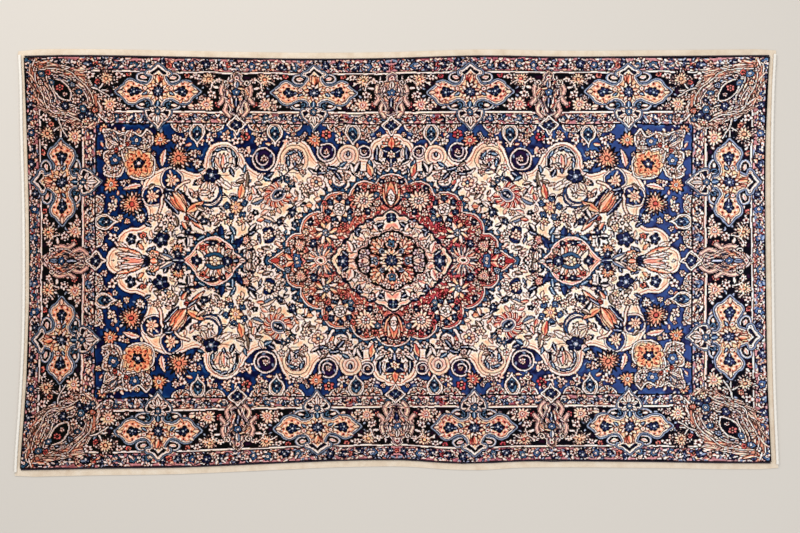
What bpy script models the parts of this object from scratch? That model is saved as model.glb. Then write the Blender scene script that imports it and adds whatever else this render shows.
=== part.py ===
"""A Persian rug lying flat: a knotted wool pile with two overcast sides, mounted on a cream cloth
that shows all round it and is finished with a white cord at each end.

The rug's length runs along X, its pile faces +Z and +Y is its far side. The origin is on the floor,
under the middle of the box round the whole rug. Sizes are in metres.
"""

import bmesh
import bpy
from mathutils import Vector

CLOTH_THICKNESS = 0.0020
PILE_THICKNESS = 0.0072
PILE_EDGE_ROUND = 0.0012
LAYER_GAP = 0.0003
SIDE_CORD_DIAMETER = 0.0050
END_CORD_DIAMETER = 0.0060
END_CORD_INSET = 0.0010  # from the cloth's end to the cord's outer side
RUG_CORNER_RADIUS = 0.003
CLOTH_CORNER_RADIUS = 0.016
CORNER_STEPS = 4
SIDE_STEPS = 50
END_STEPS = 28
CORD_BEVEL_RESOLUTION = 2

# Corners, in the order near left, near right, far right, far left: (x, y).
RUG_CORNERS = (
    (-1.1313, -0.6234),
    (1.1262, -0.6021),
    (1.1223, 0.6261),
    (-1.1205, 0.6231),
)
CLOTH_CORNERS = (
    (-1.1520, -0.6435),
    (1.1520, -0.6195),
    (1.1460, 0.6435),
    (-1.1409, 0.6411),
)

# How far each edge stands out from the straight line between its corners, going round from the
# near left corner: (share of the way along the edge, outward bow).
NEAR_SIDE_BOW = (
    (0.00, 0.000),
    (0.11, -0.003),
    (0.21, -0.004),
    (0.27, -0.008),
    (0.37, -0.016),
    (0.43, -0.020),
    (0.51, -0.020),
    (0.56, -0.011),
    (0.61, -0.007),
    (0.665, -0.013),
    (0.83, -0.008),
    (0.93, -0.002),
    (1.00, 0.000),
)
RIGHT_END_BOW = (
    (0.00, 0.000),
    (0.05, -0.005),
    (0.20, -0.012),
    (0.40, -0.015),
    (0.72, -0.016),
    (0.94, -0.009),
    (1.00, 0.000),
)
FAR_SIDE_BOW = (
    (0.00, 0.000),
    (0.17, -0.003),
    (0.28, -0.004),
    (0.39, 0.000),
    (0.52, -0.008),
    (0.63, -0.009),
    (0.74, -0.005),
    (0.84, 0.000),
    (0.94, 0.003),
    (1.00, 0.000),
)
LEFT_END_BOW = (
    (0.00, 0.000),
    (0.06, -0.008),
    (0.18, -0.012),
    (0.40, -0.021),
    (0.65, -0.023),
    (0.82, -0.015),
    (0.94, -0.005),
    (1.00, 0.000),
)
EDGE_BOWS = (NEAR_SIDE_BOW, RIGHT_END_BOW, FAR_SIDE_BOW, LEFT_END_BOW)
EDGE_STEPS = (SIDE_STEPS, END_STEPS, SIDE_STEPS, END_STEPS)

# Material: (red, green, blue, roughness).
WOOL = (0.36, 0.20, 0.17, 0.95)
DARK_WOOL = (0.025, 0.018, 0.030, 0.90)
CREAM_COTTON = (0.75, 0.60, 0.46, 0.90)
WHITE_COTTON = (0.88, 0.84, 0.77, 0.85)


def remove_objects():
    for ob in list(bpy.data.objects):
        bpy.data.objects.remove(ob, do_unlink=True)


def make_material(name, colour):
    red, green, blue, roughness = colour
    material = bpy.data.materials.new(name)
    material.use_nodes = True
    shader = material.node_tree.nodes["Principled BSDF"]
    shader.inputs["Base Color"].default_value = (red, green, blue, 1.0)
    shader.inputs["Roughness"].default_value = roughness
    shader.inputs["Metallic"].default_value = 0.0
    return material


def bow_at(table, share):
    """The outward bow at a share of the edge, on a smooth curve through the table's rows."""
    last = len(table) - 1
    row = max(i for i in range(last) if table[i][0] <= share)
    start, end = table[row], table[row + 1]
    before, after = table[max(row - 1, 0)], table[min(row + 2, last)]
    span = end[0] - start[0]
    t = (share - start[0]) / span
    slope_in = (end[1] - before[1]) / (end[0] - before[0]) * span
    slope_out = (after[1] - start[1]) / (after[0] - start[0]) * span
    return (
        (2 * t**3 - 3 * t**2 + 1) * start[1]
        + (t**3 - 2 * t**2 + t) * slope_in
        + (3 * t**2 - 2 * t**3) * end[1]
        + (t**3 - t**2) * slope_out
    )


def edge_points(corners, edge, trim, steps):
    """Points along one bowed edge, which starts and stops a trim short of its corners."""
    start = Vector(corners[edge])
    end = Vector(corners[(edge + 1) % 4])
    way = end - start
    outward = Vector((way.y, -way.x)).normalized()
    first = trim / way.length
    shares = [first + (1 - 2 * first) * i / steps for i in range(steps + 1)]
    return [start + way * s + outward * bow_at(EDGE_BOWS[edge], s) for s in shares]


def rounded_outline(corners, radius):
    """The closed outline of four bowed edges with rounded corners, anticlockwise from above."""
    points = []
    for edge in range(4):
        points += edge_points(corners, edge, radius, EDGE_STEPS[edge])
        corner = Vector(corners[(edge + 1) % 4])
        leave = points[-1]
        enter = edge_points(corners, (edge + 1) % 4, radius, 1)[0]
        for i in range(1, CORNER_STEPS):
            t = i / CORNER_STEPS
            points.append(leave * (1 - t) ** 2 + corner * (2 * t * (1 - t)) + enter * t**2)
    return points


def inset(points, depth, closed=True):
    """The points moved to the left of their way by depth, which is inwards on an outline."""
    moved = []
    count = len(points)
    for i, point in enumerate(points):
        before = points[i - 1] if closed or i > 0 else point
        after = points[(i + 1) % count] if closed or i < count - 1 else point
        way = (after - before).normalized()
        moved.append(point + Vector((-way.y, way.x)) * depth)
    return moved


def make_slab(name, outline, levels, colour):
    """A flat closed body from rings of the outline, one for each (inset, height) from the bottom."""
    bm = bmesh.new()
    rings = []
    for depth, height in levels:
        rings.append([bm.verts.new((p.x, p.y, height)) for p in inset(outline, depth)])
    count = len(outline)
    for low, high in zip(rings, rings[1:]):
        for i in range(count):
            j = (i + 1) % count
            bm.faces.new((low[i], low[j], high[j], high[i]))
    bm.faces.new(list(reversed(rings[0])))
    bm.faces.new(rings[-1])
    mesh = bpy.data.meshes.new(name)
    bm.to_mesh(mesh)
    bm.free()
    mesh.materials.append(make_material(name + "_material", colour))
    slab = bpy.data.objects.new(name, mesh)
    bpy.context.collection.objects.link(slab)
    return slab


def make_cord(name, path, centre_height, diameter, colour):
    """A round cord lying level along the path, with closed ends."""
    curve = bpy.data.curves.new(name, "CURVE")
    curve.dimensions = "3D"
    curve.bevel_depth = diameter / 2
    curve.bevel_resolution = CORD_BEVEL_RESOLUTION
    curve.use_fill_caps = True
    spline = curve.splines.new("POLY")
    spline.points.add(len(path) - 1)
    for knot, point in zip(spline.points, path):
        knot.co = (point.x, point.y, centre_height, 1.0)
    curve.materials.append(make_material(name + "_material", colour))
    cord = bpy.data.objects.new(name, curve)
    bpy.context.collection.objects.link(cord)
    return cord


def centred(points, middle):
    return [p - middle for p in points]


def main():
    remove_objects()
    cloth = rounded_outline(CLOTH_CORNERS, CLOTH_CORNER_RADIUS)
    middle = Vector(
        (
            (min(p.x for p in cloth) + max(p.x for p in cloth)) / 2,
            (min(p.y for p in cloth) + max(p.y for p in cloth)) / 2,
        )
    )
    make_slab(
        "margin_cloth",
        centred(cloth, middle),
        ((0.0, 0.0), (0.0, CLOTH_THICKNESS)),
        CREAM_COTTON,
    )

    # The pile leaves room for an overcast cord along each long side of the rug's outline.
    floor_of_rug = CLOTH_THICKNESS + LAYER_GAP
    cord_room = SIDE_CORD_DIAMETER + LAYER_GAP
    near_left, near_right, far_right, far_left = (Vector(c) for c in RUG_CORNERS)
    pile_corners = (
        near_left + Vector((0, cord_room)),
        near_right + Vector((0, cord_room)),
        far_right - Vector((0, cord_room)),
        far_left - Vector((0, cord_room)),
    )
    pile = rounded_outline(pile_corners, RUG_CORNER_RADIUS)
    pile_top = floor_of_rug + PILE_THICKNESS
    make_slab(
        "knotted_pile",
        centred(pile, middle),
        (
            (0.0, floor_of_rug),
            (0.0, pile_top - PILE_EDGE_ROUND),
            (PILE_EDGE_ROUND / 3, pile_top - PILE_EDGE_ROUND / 3),
            (PILE_EDGE_ROUND, pile_top),
        ),
        WOOL,
    )

    for name, edge in (("side_cord_near", 0), ("side_cord_far", 2)):
        side = edge_points(RUG_CORNERS, edge, RUG_CORNER_RADIUS, SIDE_STEPS)
        path = inset(side, SIDE_CORD_DIAMETER / 2, closed=False)
        height = floor_of_rug + SIDE_CORD_DIAMETER / 2
        make_cord(name, centred(path, middle), height, SIDE_CORD_DIAMETER, DARK_WOOL)

    for name, edge in (("end_cord_right", 1), ("end_cord_left", 3)):
        end = edge_points(CLOTH_CORNERS, edge, CLOTH_CORNER_RADIUS, END_STEPS)
        path = inset(end, END_CORD_INSET + END_CORD_DIAMETER / 2, closed=False)
        height = floor_of_rug + END_CORD_DIAMETER / 2
        make_cord(name, centred(path, middle), height, END_CORD_DIAMETER, WHITE_COTTON)


main()
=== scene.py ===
"""Looks of the Persian rug: its knotted pile, its overcast sides, and the cloth and cords it is mounted on.

The pile is a grid of square knots, each one dyed colour. Its pattern is a medallion design that is drawn
once, on a chart of one quarter of the rug, and mirrored to the other three. Chart measures are in chart
squares of 3 mm; everything else is in metres. +X is the rug's length, to the right in the photo, +Y its
far side and +Z up.
"""

import math

import bmesh
import bpy
import numpy as np
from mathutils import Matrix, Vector


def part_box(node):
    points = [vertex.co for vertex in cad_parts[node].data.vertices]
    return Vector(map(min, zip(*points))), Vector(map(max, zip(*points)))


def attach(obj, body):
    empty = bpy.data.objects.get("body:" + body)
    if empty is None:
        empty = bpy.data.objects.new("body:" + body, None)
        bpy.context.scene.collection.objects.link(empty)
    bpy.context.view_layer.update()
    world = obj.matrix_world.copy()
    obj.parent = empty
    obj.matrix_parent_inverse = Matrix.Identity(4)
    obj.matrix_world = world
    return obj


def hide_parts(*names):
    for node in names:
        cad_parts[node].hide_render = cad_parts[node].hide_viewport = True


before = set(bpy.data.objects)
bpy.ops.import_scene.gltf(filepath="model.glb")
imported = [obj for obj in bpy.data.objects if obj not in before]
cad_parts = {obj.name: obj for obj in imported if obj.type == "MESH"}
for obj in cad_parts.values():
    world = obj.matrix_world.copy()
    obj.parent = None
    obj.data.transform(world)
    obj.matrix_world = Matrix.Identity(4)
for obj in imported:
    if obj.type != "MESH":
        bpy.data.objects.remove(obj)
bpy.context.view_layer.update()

# ---------------------------------------------------------------- dyes


def dye(red, green, blue):
    return np.array((red, green, blue)) / 255


INK = dye(6, 2, 6)
NIGHT = dye(12, 6, 16)
NAVY = dye(18, 30, 66)
FIELD = dye(18, 54, 106)
BLUE = dye(36, 76, 120)
TEAL = dye(38, 82, 112)
SLATE = dye(98, 120, 144)
SKY = dye(168, 184, 202)
IVORY = dye(254, 226, 198)
CREAM = dye(248, 208, 176)
BEIGE = dye(214, 178, 158)
GOLD = dye(238, 180, 138)
ORANGE = dye(222, 126, 92)
SALMON = dye(240, 168, 140)
PINK = dye(246, 202, 186)
RUST = dye(178, 74, 64)
CRIMSON = dye(148, 44, 54)
MAUVE = dye(160, 110, 112)
AMBER = dye(232, 162, 126)
PLUM = dye(48, 30, 46)
BROWN = dye(72, 38, 36)
OLIVE = dye(124, 112, 96)
LILAC = dye(162, 142, 154)
ROSE = dye(244, 190, 166)
TAN = dye(180, 122, 96)
INDIGO = dye(44, 28, 70)
APRICOT = dye(236, 152, 104)
BRICK = dye(190, 102, 88)

MOTTLES = (  # (ground, what it turns to in patches, how far apart the patches are in chart pixels)
    (FIELD, dye(16, 26, 66), 14),
    (FIELD, dye(24, 72, 124), 23),
    (IVORY, dye(250, 202, 164), 15),
    (NIGHT, dye(44, 22, 44), 12),
    (GOLD, dye(240, 158, 110), 9),
    (SALMON, dye(244, 196, 150), 9),
    (CREAM, dye(240, 190, 158), 11),
    (RUST, dye(222, 120, 84), 8),
    (ORANGE, dye(240, 160, 104), 7),
)

# Flowers: (petals, eye, heart, number of petals, style).
FLOWERS = {
    "pink": (ROSE, CRIMSON, INK, 5, "rays"),
    "white": (IVORY, RUST, GOLD, 5, "rays"),
    "orange": (ORANGE, NAVY, CREAM, 9, "rays"),
    "peach": (SALMON, BROWN, CREAM, 6, "rays"),
    "blue": (BLUE, IVORY, CRIMSON, 5, "round"),
    "navy": (NAVY, SLATE, IVORY, 5, "round"),
    "teal": (TEAL, IVORY, NAVY, 6, "round"),
    "rust": (RUST, INK, GOLD, 6, "round"),
    "gold": (GOLD, RUST, IVORY, 6, "rays"),
    "slate": (SLATE, INK, IVORY, 8, "rays"),
    "cream": (CREAM, BROWN, SALMON, 8, "rays"),
    "ray": (ORANGE, CREAM, NAVY, 11, "rays"),
    "star": (SALMON, PINK, CRIMSON, 15, "rays"),
    "peony": (SALMON, PINK, RUST, 11, "rays"),
    "sun": (PINK, AMBER, ORANGE, 17, "double"),
    "ear": (SALMON, CREAM, RUST, 8, "rays"),
    "fire": (SALMON, ORANGE, RUST, 19, "double"),
}
# Leaves: (left half, right half, outline, vein).
LEAVES = {
    "navy": (NAVY, NAVY, INK, SKY),
    "split": (NAVY, IVORY, INK, None),
    "deep": (FIELD, NAVY, INK, None),
    "teal": (TEAL, TEAL, INK, SKY),
    "slate": (SLATE, BEIGE, INK, INK),
    "ivory": (IVORY, IVORY, BROWN, BROWN),
    "blush": (PINK, SALMON, INK, RUST),
    "orange": (ORANGE, SALMON, INK, CREAM),
    "olive": (OLIVE, BEIGE, INK, BROWN),
    "gold": (GOLD, ORANGE, INK, RUST),
    "rust": (RUST, CRIMSON, INK, None),
    "cream": (CREAM, IVORY, INK, None),
    "sprig": (CREAM, CREAM, None, None),
    "mist": (SLATE, SLATE, None, None),
    "lilac": (LILAC, BEIGE, INK, None),
    "ember": (ORANGE, SALMON, BROWN, None),
    "flame": (RUST, ORANGE, BROWN, None),
    "petal": (PINK, SALMON, BROWN, None),
    "bronze": (BEIGE, SALMON, BROWN, None),
    "rose": (SALMON, SALMON, None, None),
    "gilt": (GOLD, CREAM, BROWN, None),
    "coral": (SALMON, ORANGE, BROWN, CREAM),
    "amber": (GOLD, ORANGE, BROWN, None),
}

# ---------------------------------------------------------------- drawing on the chart


def smooth(points, closed=False, steps=5):
    """Points on a curve through the given ones; a point given twice is a sharp corner."""
    points = np.array(points, float)
    count = len(points)
    shares = (np.arange(steps) / steps)[:, None]
    out = []
    for i in range(count if closed else count - 1):
        a, b = points[i], points[(i + 1) % count]
        if np.allclose(a, b):
            continue
        before = points[i - 1] if closed or i else 2 * a - b
        after = points[(i + 2) % count] if closed or i < count - 2 else 2 * b - a
        out.append(a + (b - before) * shares / 2 + (2 * before - 5 * a + 4 * b - after) * shares**2 / 2
                   + (3 * a - before - 3 * b + after) * shares**3 / 2)
    if not closed:
        out.append(points[-1:])
    return np.vstack(out)


def mirrored(half, flip=(-1, 1)):
    """A closed outline from one half of it, given from one end of its axis to the other."""
    half = np.array(half, float)
    return smooth(np.vstack([half, half[::-1] * flip]), closed=True)


def distance_to(x, y, loop):
    """Distance to a closed outline, negative inside it, and the way along it to the nearest point."""
    best = np.full(np.broadcast(x, y).shape, 1e9)
    along = np.zeros_like(best)
    inside = np.zeros(best.shape, bool)
    gone = 0.0
    for (ax, ay), (bx, by) in zip(loop, np.roll(loop, -1, 0)):
        ex, ey = bx - ax, by - ay
        long = math.hypot(ex, ey)
        if long < 1e-6:
            continue
        share = np.clip(((x - ax) * ex + (y - ay) * ey) / long**2, 0, 1)
        square = (x - ax - ex * share) ** 2 + (y - ay - ey * share) ** 2
        nearer = square < best
        best = np.where(nearer, square, best)
        along = np.where(nearer, gone + share * long, along)
        gone += long
        if abs(ey) > 1e-9:
            inside ^= ((ay <= y) != (by <= y)) & (x < ax + ex * (y - ay) / ey)
    return np.where(inside, -np.sqrt(best), np.sqrt(best)), along


def pick(rng, kinds):
    """One of the kinds, at random."""
    return kinds[rng.integers(len(kinds))]


class Place:
    """A motif's own axes on the chart: y along its heading, x to the right of it."""

    def __init__(self, u, v, turn=0.0, side=1):
        self.at, self.turn, self.side = (u, v), turn, side
        self.cos, self.sin = math.cos(math.radians(turn)), math.sin(math.radians(turn))

    def __call__(self, x, y):
        """The chart place of a point in the motif's own axes."""
        x *= self.side
        return self.at[0] + x * self.cos + y * self.sin, self.at[1] - x * self.sin + y * self.cos

    def head(self, turn):
        """The chart heading of a heading in the motif's own axes."""
        return self.turn + self.side * turn

    def halves(self):
        """These axes and the same with x to the other side, for what a motif has on both sides."""
        return Place(*self.at, self.turn, -self.side), self


class Chart:
    """A quarter of the rug, u outward along its length and v outward across it, both from the middle."""

    def __init__(self, columns, rows, length, width):
        self.u = (np.arange(columns) + 0.5) * length / columns
        self.v = (np.arange(rows) + 0.5) * width / rows
        self.fine = columns / length
        self.dyes = np.tile(INK, (rows, columns, 1))

    def window(self, u0, u1, v0, v1):
        """The part of the chart between two places each way, and its u along and v up it."""
        columns = slice(*np.searchsorted(self.u, (u0, u1)))
        rows = slice(*np.searchsorted(self.v, (v0, v1)))
        return (rows, columns), self.u[columns][None, :], self.v[rows][:, None]

    def lay(self, where, distance, colour):
        """Colour what lies inside an outline, from the distance to it, with a soft edge."""
        cover = np.clip(0.5 - distance * self.fine, 0, 1)[..., None]
        part = self.dyes[where]
        part += cover * (colour - part)

    def nest(self, where, gap, layers):
        """One colour inside another: each (offset, colour) reaches its offset beyond the gap's zero."""
        for offset, colour in layers:
            self.lay(where, gap - offset, colour)

    def local(self, at, reach, turn=0.0, side=1):
        """The part of the chart round a point, and its places in the motif's own axes."""
        where, u, v = self.window(at[0] - reach, at[0] + reach, at[1] - reach, at[1] + reach)
        cos, sin = math.cos(math.radians(turn)), math.sin(math.radians(turn))
        du, dv = u - at[0], v - at[1]
        return where, (du * cos - dv * sin) * side, du * sin + dv * cos

    def shape(self, loop, layers, at=(0, 0), turn=0.0, side=1, size=1.0):
        """An outline filled once for each (offset, colour), a larger offset reaching further out."""
        where, x, y = self.local(at, (np.hypot(*loop.T).max() + 6) * size, turn, side)
        gap, _ = distance_to(x / size, y / size, loop)
        for offset, colour in layers:
            self.lay(where, (gap - offset) * size, colour)

    def stroke(self, path, width, colour):
        """A band of one colour along a path of straight steps."""
        for a, b in zip(path[:-1], path[1:]):
            low, high = np.minimum(a, b) - width - 1, np.maximum(a, b) + width + 1
            where, u, v = self.window(low[0], high[0], low[1], high[1])
            way = b - a
            long = max(way @ way, 1e-9)
            share = np.clip(((u - a[0]) * way[0] + (v - a[1]) * way[1]) / long, 0, 1)
            gap = np.hypot(u - a[0] - way[0] * share, v - a[1] - way[1] * share)
            self.lay(where, gap - width / 2, colour)

    def line(self, points, width, colour, edge=None):
        """A curved line through some points, with an edge of another colour if one is given."""
        path = smooth(points)
        if edge is not None:
            self.stroke(path, width + 1.8, edge)
        self.stroke(path, width, colour)

    def disc(self, at, radius, colour, edge=None):
        """A round spot, with an edge of another colour if one is given."""
        where, x, y = self.local(at, radius + 2)
        if edge is not None:
            self.lay(where, np.hypot(x, y) - radius - 0.9, edge)
        self.lay(where, np.hypot(x, y) - radius, colour)

    def rosette(self, at, radius, petal, eye, heart, count=6, turn=0.0, line=INK):
        """A blossom of joined petals; its place on the chart makes it uneven in its own way."""
        where, x, y = self.local(at, radius * 1.2 + 2, turn)
        r, angle = np.hypot(x, y), np.arctan2(x, y)
        odd = 7.3 * at[0] + 3.1 * at[1]
        lobe = np.abs(np.cos(count * angle / 2 + 0.4 * np.sin(angle + odd)))
        edge = r - radius * (0.64 + 0.38 * lobe**0.8 + 0.09 * np.sin(2 * angle + odd))
        self.lay(where, edge - min(0.9, 0.26 * radius), line)
        self.lay(where, edge, petal)
        if radius > 3:
            seam = SLATE if petal.sum() < 1 else line
            self.lay(where, np.maximum(r * lobe * 2 / count - 0.34, edge), seam)
        shift = 0.08 * radius
        core = np.hypot(x - shift * math.sin(odd), y - shift * math.cos(odd)) - 0.32 * radius
        self.lay(where, core - min(0.6, 0.15 * radius), line)
        self.lay(where, core, eye)
        self.lay(where, core + 0.19 * radius, heart)

    def rays(self, at, radius, petal, eye, heart, count=10, turn=0.0, line=INK):
        """A blossom of separate petals."""
        where, x, y = self.local(at, radius + 2)
        r = np.hypot(x, y)
        step = 2 * math.pi / count
        odd = 7.3 * at[0] + 3.1 * at[1]
        angle = np.arctan2(x, y) - math.radians(turn) + 0.12 * np.sin(2 * np.arctan2(x, y) + odd)
        radius = radius * (1 + 0.12 * np.sin(3 * angle + odd))
        angle = (angle + step / 2) % step - step / 2
        half = radius * math.sin(math.pi / count) * 0.51
        rise = (r * np.cos(angle) - 0.60 * radius) / (0.43 * radius)
        edge = (np.hypot(r * np.sin(angle) / half, rise) - 1) * half
        self.lay(where, edge - 0.7, line)
        self.lay(where, edge, petal)
        self.lay(where, r - 0.30 * radius - 0.3, line)
        self.lay(where, r - 0.30 * radius, eye)
        self.lay(where, r - 0.14 * radius, heart)

    def daisy(self, at, radius, outer, inner, heart, count, line=INK):
        """A large flower with two rows of thin rays."""
        self.rays(at, radius, outer, inner, heart, count, 0, line)
        self.rays(at, radius * 0.74, inner, inner, heart, count - 5, 12, line)
        self.disc(at, radius * 0.2, heart, line)

    def flower(self, kind, at, radius, turn=0.0, line=INK):
        """One of the named flowers."""
        petal, eye, heart, count, style = FLOWERS[kind]
        if style == "round":
            self.rosette(at, radius, petal, eye, heart, count, turn, line)
        elif style == "rays":
            self.rays(at, radius, petal, eye, heart, count, turn, line)
        else:
            self.daisy(at, radius, petal, eye, heart, count, line)

    def flowers(self, rows, twist=0, axes=Place(0, 0), line=INK):
        """A flower for each (kind, x, y, radius), turned by so many degrees for each x."""
        for kind, x, y, radius in rows:
            self.flower(kind, axes(x, y), radius, twist * x, line)

    def leaf(self, kind, at, turn, length, width, bend=0.0, teeth=0):
        """One of the named leaves, from its foot, plain or with a toothed edge."""
        left, right, line, vein = LEAVES[kind]
        where, x, y = self.local(at, length * (1 + abs(bend)) + width, turn)
        share = np.clip(y / length, 0, 1)
        x = x - bend * length * share**2
        half = width / 2 * np.sin(np.pi * share**0.85) ** 0.8
        if teeth:
            half = half * (0.66 + 0.34 * (1 - (share * teeth) % 1))
        edge = np.maximum(np.abs(x) - half, np.maximum(-y, y - length))
        if line is not None:
            self.lay(where, edge - min(0.9, 0.24 * width), line)
        self.lay(where, edge, left)
        if right is not left:
            self.lay(where, np.maximum(edge, -x), right)
        if vein is not None:
            self.lay(where, np.maximum(np.abs(x) - 0.3, edge + 0.6), vein)

    def leaves(self, rows, size=1, axes=Place(0, 0)):
        """A leaf for each (kind, x, y, turn, length, width, and its bend and teeth if it has them)."""
        for kind, x, y, turn, length, *form in rows:
            self.leaf(kind, axes(x, y), axes.head(turn), size * length, *form)

    def spiral(self, at, radius, turns, width, colour, start=0.0, hand=1, edge=None):
        """A scroll that winds inward from its outer end."""
        share = np.linspace(0, 1, int(24 * turns))
        angle = math.radians(start) + hand * share * turns * 2 * math.pi
        r = radius * (1 - 0.82 * share)
        path = np.stack([at[0] + r * np.sin(angle), at[1] + r * np.cos(angle)], 1)
        if edge is not None:
            self.stroke(path, width + 1.8, edge)
        self.stroke(path, width, colour)

    def vine(self, points, kinds=(), spacing=5.0, size=4.6, seed=0, width=0.8, colour=BROWN):
        """A stem with leaves of the given kinds on alternate sides."""
        path = smooth(points, steps=8)
        self.stroke(path, width, colour)
        if not kinds:
            return
        rng = np.random.default_rng(seed)
        steps = np.hypot(*np.diff(path, axis=0).T)
        gone = np.concatenate([[0], np.cumsum(steps)])
        at, hand = spacing / 2, 1
        while at < gone[-1]:
            i = np.searchsorted(gone, at) - 1
            way = path[i + 1] - path[i]
            place = path[i] + way * (at - gone[i]) / steps[i]
            head = math.degrees(math.atan2(*way)) + hand * rng.uniform(30, 60)
            length = size * rng.uniform(0.75, 1.2)
            self.leaf(pick(rng, kinds), place, head, length, length * 0.45, hand * 0.15)
            hand = -hand
            at += spacing * rng.uniform(0.7, 1.3)

    def filigree(self, where, gap, deep, count, kinds, seed, long=7.0, wide=2.2, tilt=20.0):
        """Thin curled leaves inside an outline, which run along it; gap is the distance to it."""
        rng = np.random.default_rng(seed)
        rise_v, rise_u = np.gradient(gap)
        rows, columns = where
        for _ in range(count):
            i, j = rng.integers(gap.shape[0]), rng.integers(gap.shape[1])
            if gap[i, j] > -deep:
                continue
            turn = math.degrees(math.atan2(-rise_v[i, j], rise_u[i, j])) + rng.uniform(-tilt, tilt)
            length = long * rng.uniform(0.7, 1.25)
            place = (self.u[columns.start + j], self.v[rows.start + i])
            self.leaf(pick(rng, kinds), place, turn, length, wide * rng.uniform(0.8, 1.3),
                      rng.uniform(-0.35, 0.35))

    def mottle(self, plain, other, spacing):
        """Turn a plain ground partly to another colour, in soft patches."""
        rows, columns = self.dyes.shape[:2]
        patch = np.clip(uneven(np.random.default_rng(spacing), rows, columns, spacing) * 1.4, 0, 1)
        bare = np.abs(self.dyes - plain).max(2) < 0.02
        self.dyes += (bare * patch)[..., None] * (other - self.dyes)

    def sprinkle(self, ground, reach, count, kinds, seed, size=1.0):
        """Small blossoms and leaves where the ground is still bare."""
        rng = np.random.default_rng(seed)
        margin = int(2.2 * self.fine)
        for _ in range(count * 30):
            u, v = rng.uniform(0, reach[0]), rng.uniform(0, reach[1])
            row, column = int(v * self.fine), int(u * self.fine)
            part = self.dyes[max(row - margin, 0):row + margin, max(column - margin, 0):column + margin]
            if part.size == 0 or np.abs(part - ground).max() > 0.03:
                continue
            kind = pick(rng, kinds)
            if kind in FLOWERS:
                self.flower(kind, (u, v), size * rng.uniform(1.8, 2.6), rng.uniform(0, 90))
            else:
                long = size * rng.uniform(3.6, 5.4)
                self.leaf(kind, (u, v), rng.uniform(0, 360), long, 0.46 * long, rng.uniform(-0.3, 0.3))
            count -= 1
            if count <= 0:
                return


# ---------------------------------------------------------------- borders

FIELD_U, FIELD_V = 294.8, 135.5  # the field's half length and width, in chart squares
EDGE_U, EDGE_V = 362.0, 205.0  # the same for the whole pile
BORDER_MIDDLE = 34.1  # from the field's edge out to the middle of the main border

DARK_RIM = (1.1, 0.7)  # how wide the pile's dark rim is along its ends and along its sides

BORDER_BANDS = (  # (inner and outer limit from the field's edge, colour)
    (0, 1.5, INK),
    (1.5, 11.4, MAUVE),
    (15, 53.2, NIGHT),
    (55.6, 70, MAUVE),
)
BORDER_LINES = (  # the same columns
    (0, 1.3, INK),
    (11.3, 11.8, INK),
    (11.8, 12.8, SALMON),
    (12.8, 13.9, PINK),
    (13.9, 15, INK),
    (53.1, 53.8, INK),
    (53.8, 55.3, CREAM),
    (55.3, 56, INK),
)


def far_side(along, out):
    """Axes at a place on the far border, so far along it and out from the field's edge."""
    return Place(along, FIELD_V + out)


def end_side(along, out):
    """The same for the end's border."""
    return Place(FIELD_U + out, along, 90, -1)


RUNS = (  # (side, its half length, the middles of its palmettes, the middles of its cartouches)
    (far_side, EDGE_U, (0, 155), (77.5, 233)),
    (end_side, EDGE_V, (0,), (78,)),
)


def draw_bands(chart, bands):
    """Straight stripes round the field, mitred at the corner."""
    out = np.maximum(chart.u[None, :] - FIELD_U, chart.v[:, None] - FIELD_V)
    for inner, outer, colour in bands:
        chart.lay((slice(None), slice(None)), np.maximum(inner - out, out - outer), colour)


GUARD_STEP = 7.4  # from one blossom of a guard stripe to the next
GUARDS = ((62.4, 6.0), (6.6, 4.6))  # (middle, from the field's edge, and half width) of each


def draw_guards(chart):
    """Two narrow borders crowded with small blossoms and curled leaves."""
    rng = np.random.default_rng(3)
    kinds = ("sprig", "navy", "split", "mist", "ember", "cream", "navy", "bronze", "petal")
    for side, length, _, _ in RUNS:
        for middle, half in GUARDS:
            stop = length - 67 + middle

            def scatter(count, low, high):
                for _ in range(int(stop * count)):
                    spot = side(rng.uniform(0, stop), middle + rng.uniform(-0.95, 0.95) * half)
                    head = spot.head(180 * rng.integers(2) - 90 + rng.uniform(-60, 60))
                    long = rng.uniform(low, high)
                    chart.leaf(pick(rng, kinds), spot.at, head, long, long * rng.uniform(0.36, 0.5),
                               rng.uniform(-0.4, 0.4))

            scatter(0.95, 4.4, 7.4)
            for k in range(int(stop / GUARD_STEP) + 1):
                along = GUARD_STEP * (k + rng.uniform(-0.2, 0.2))
                at = side(along, middle + rng.uniform(-0.3, 0.3) * half).at
                if k % 2:
                    kind = pick(rng, ("navy", "teal", "blue", "navy"))
                    chart.flower(kind, at, half * rng.uniform(0.55, 0.75), 20 * k)
                else:
                    chart.flower(pick(rng, ("pink", "peach", "white", "rust")), at, half * 0.5, 30 * k)
            scatter(0.38, 3.4, 5.2)


CARTOUCHE = mirrored((
    (0, -16), (4.2, -15.6), (4.4, -12.2), (6.2, -9.4), (9.6, -7.6), (13.8, -7.2), (18, -9.2), (23, -11.6),
    (28, -11.8), (32, -9.8), (34.2, -6.4), (36.8, -3.8), (41.4, 0), (41.4, 0), (36.8, 3.8), (34, 6.2),
    (32, 9.4), (28, 11.2), (24, 10), (20.4, 7.6), (16.6, 6.2), (12.8, 6.2), (9.6, 8.4), (7, 12.2),
    (6, 16.4), (11.4, 18.4), (10.4, 20.8), (6.6, 22), (3.6, 24.8), (0, 28), (0, 28),
))
CHEVRON = mirrored((
    (0, 25.8), (0, 25.8), (3, 22.8), (6.4, 20.8), (8.4, 19.2), (6.4, 17.2), (3.6, 18.6), (0, 22.4),
    (0, 22.4),
))
LILY = mirrored((
    (0, -38.8), (0, -38.8), (2.8, -34.8), (5.6, -31.8), (8.6, -29.2), (11, -26), (12.4, -22.6),
    (11.6, -19.4), (7.8, -18.6), (4, -16.4), (0, -15.6),
))
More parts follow.
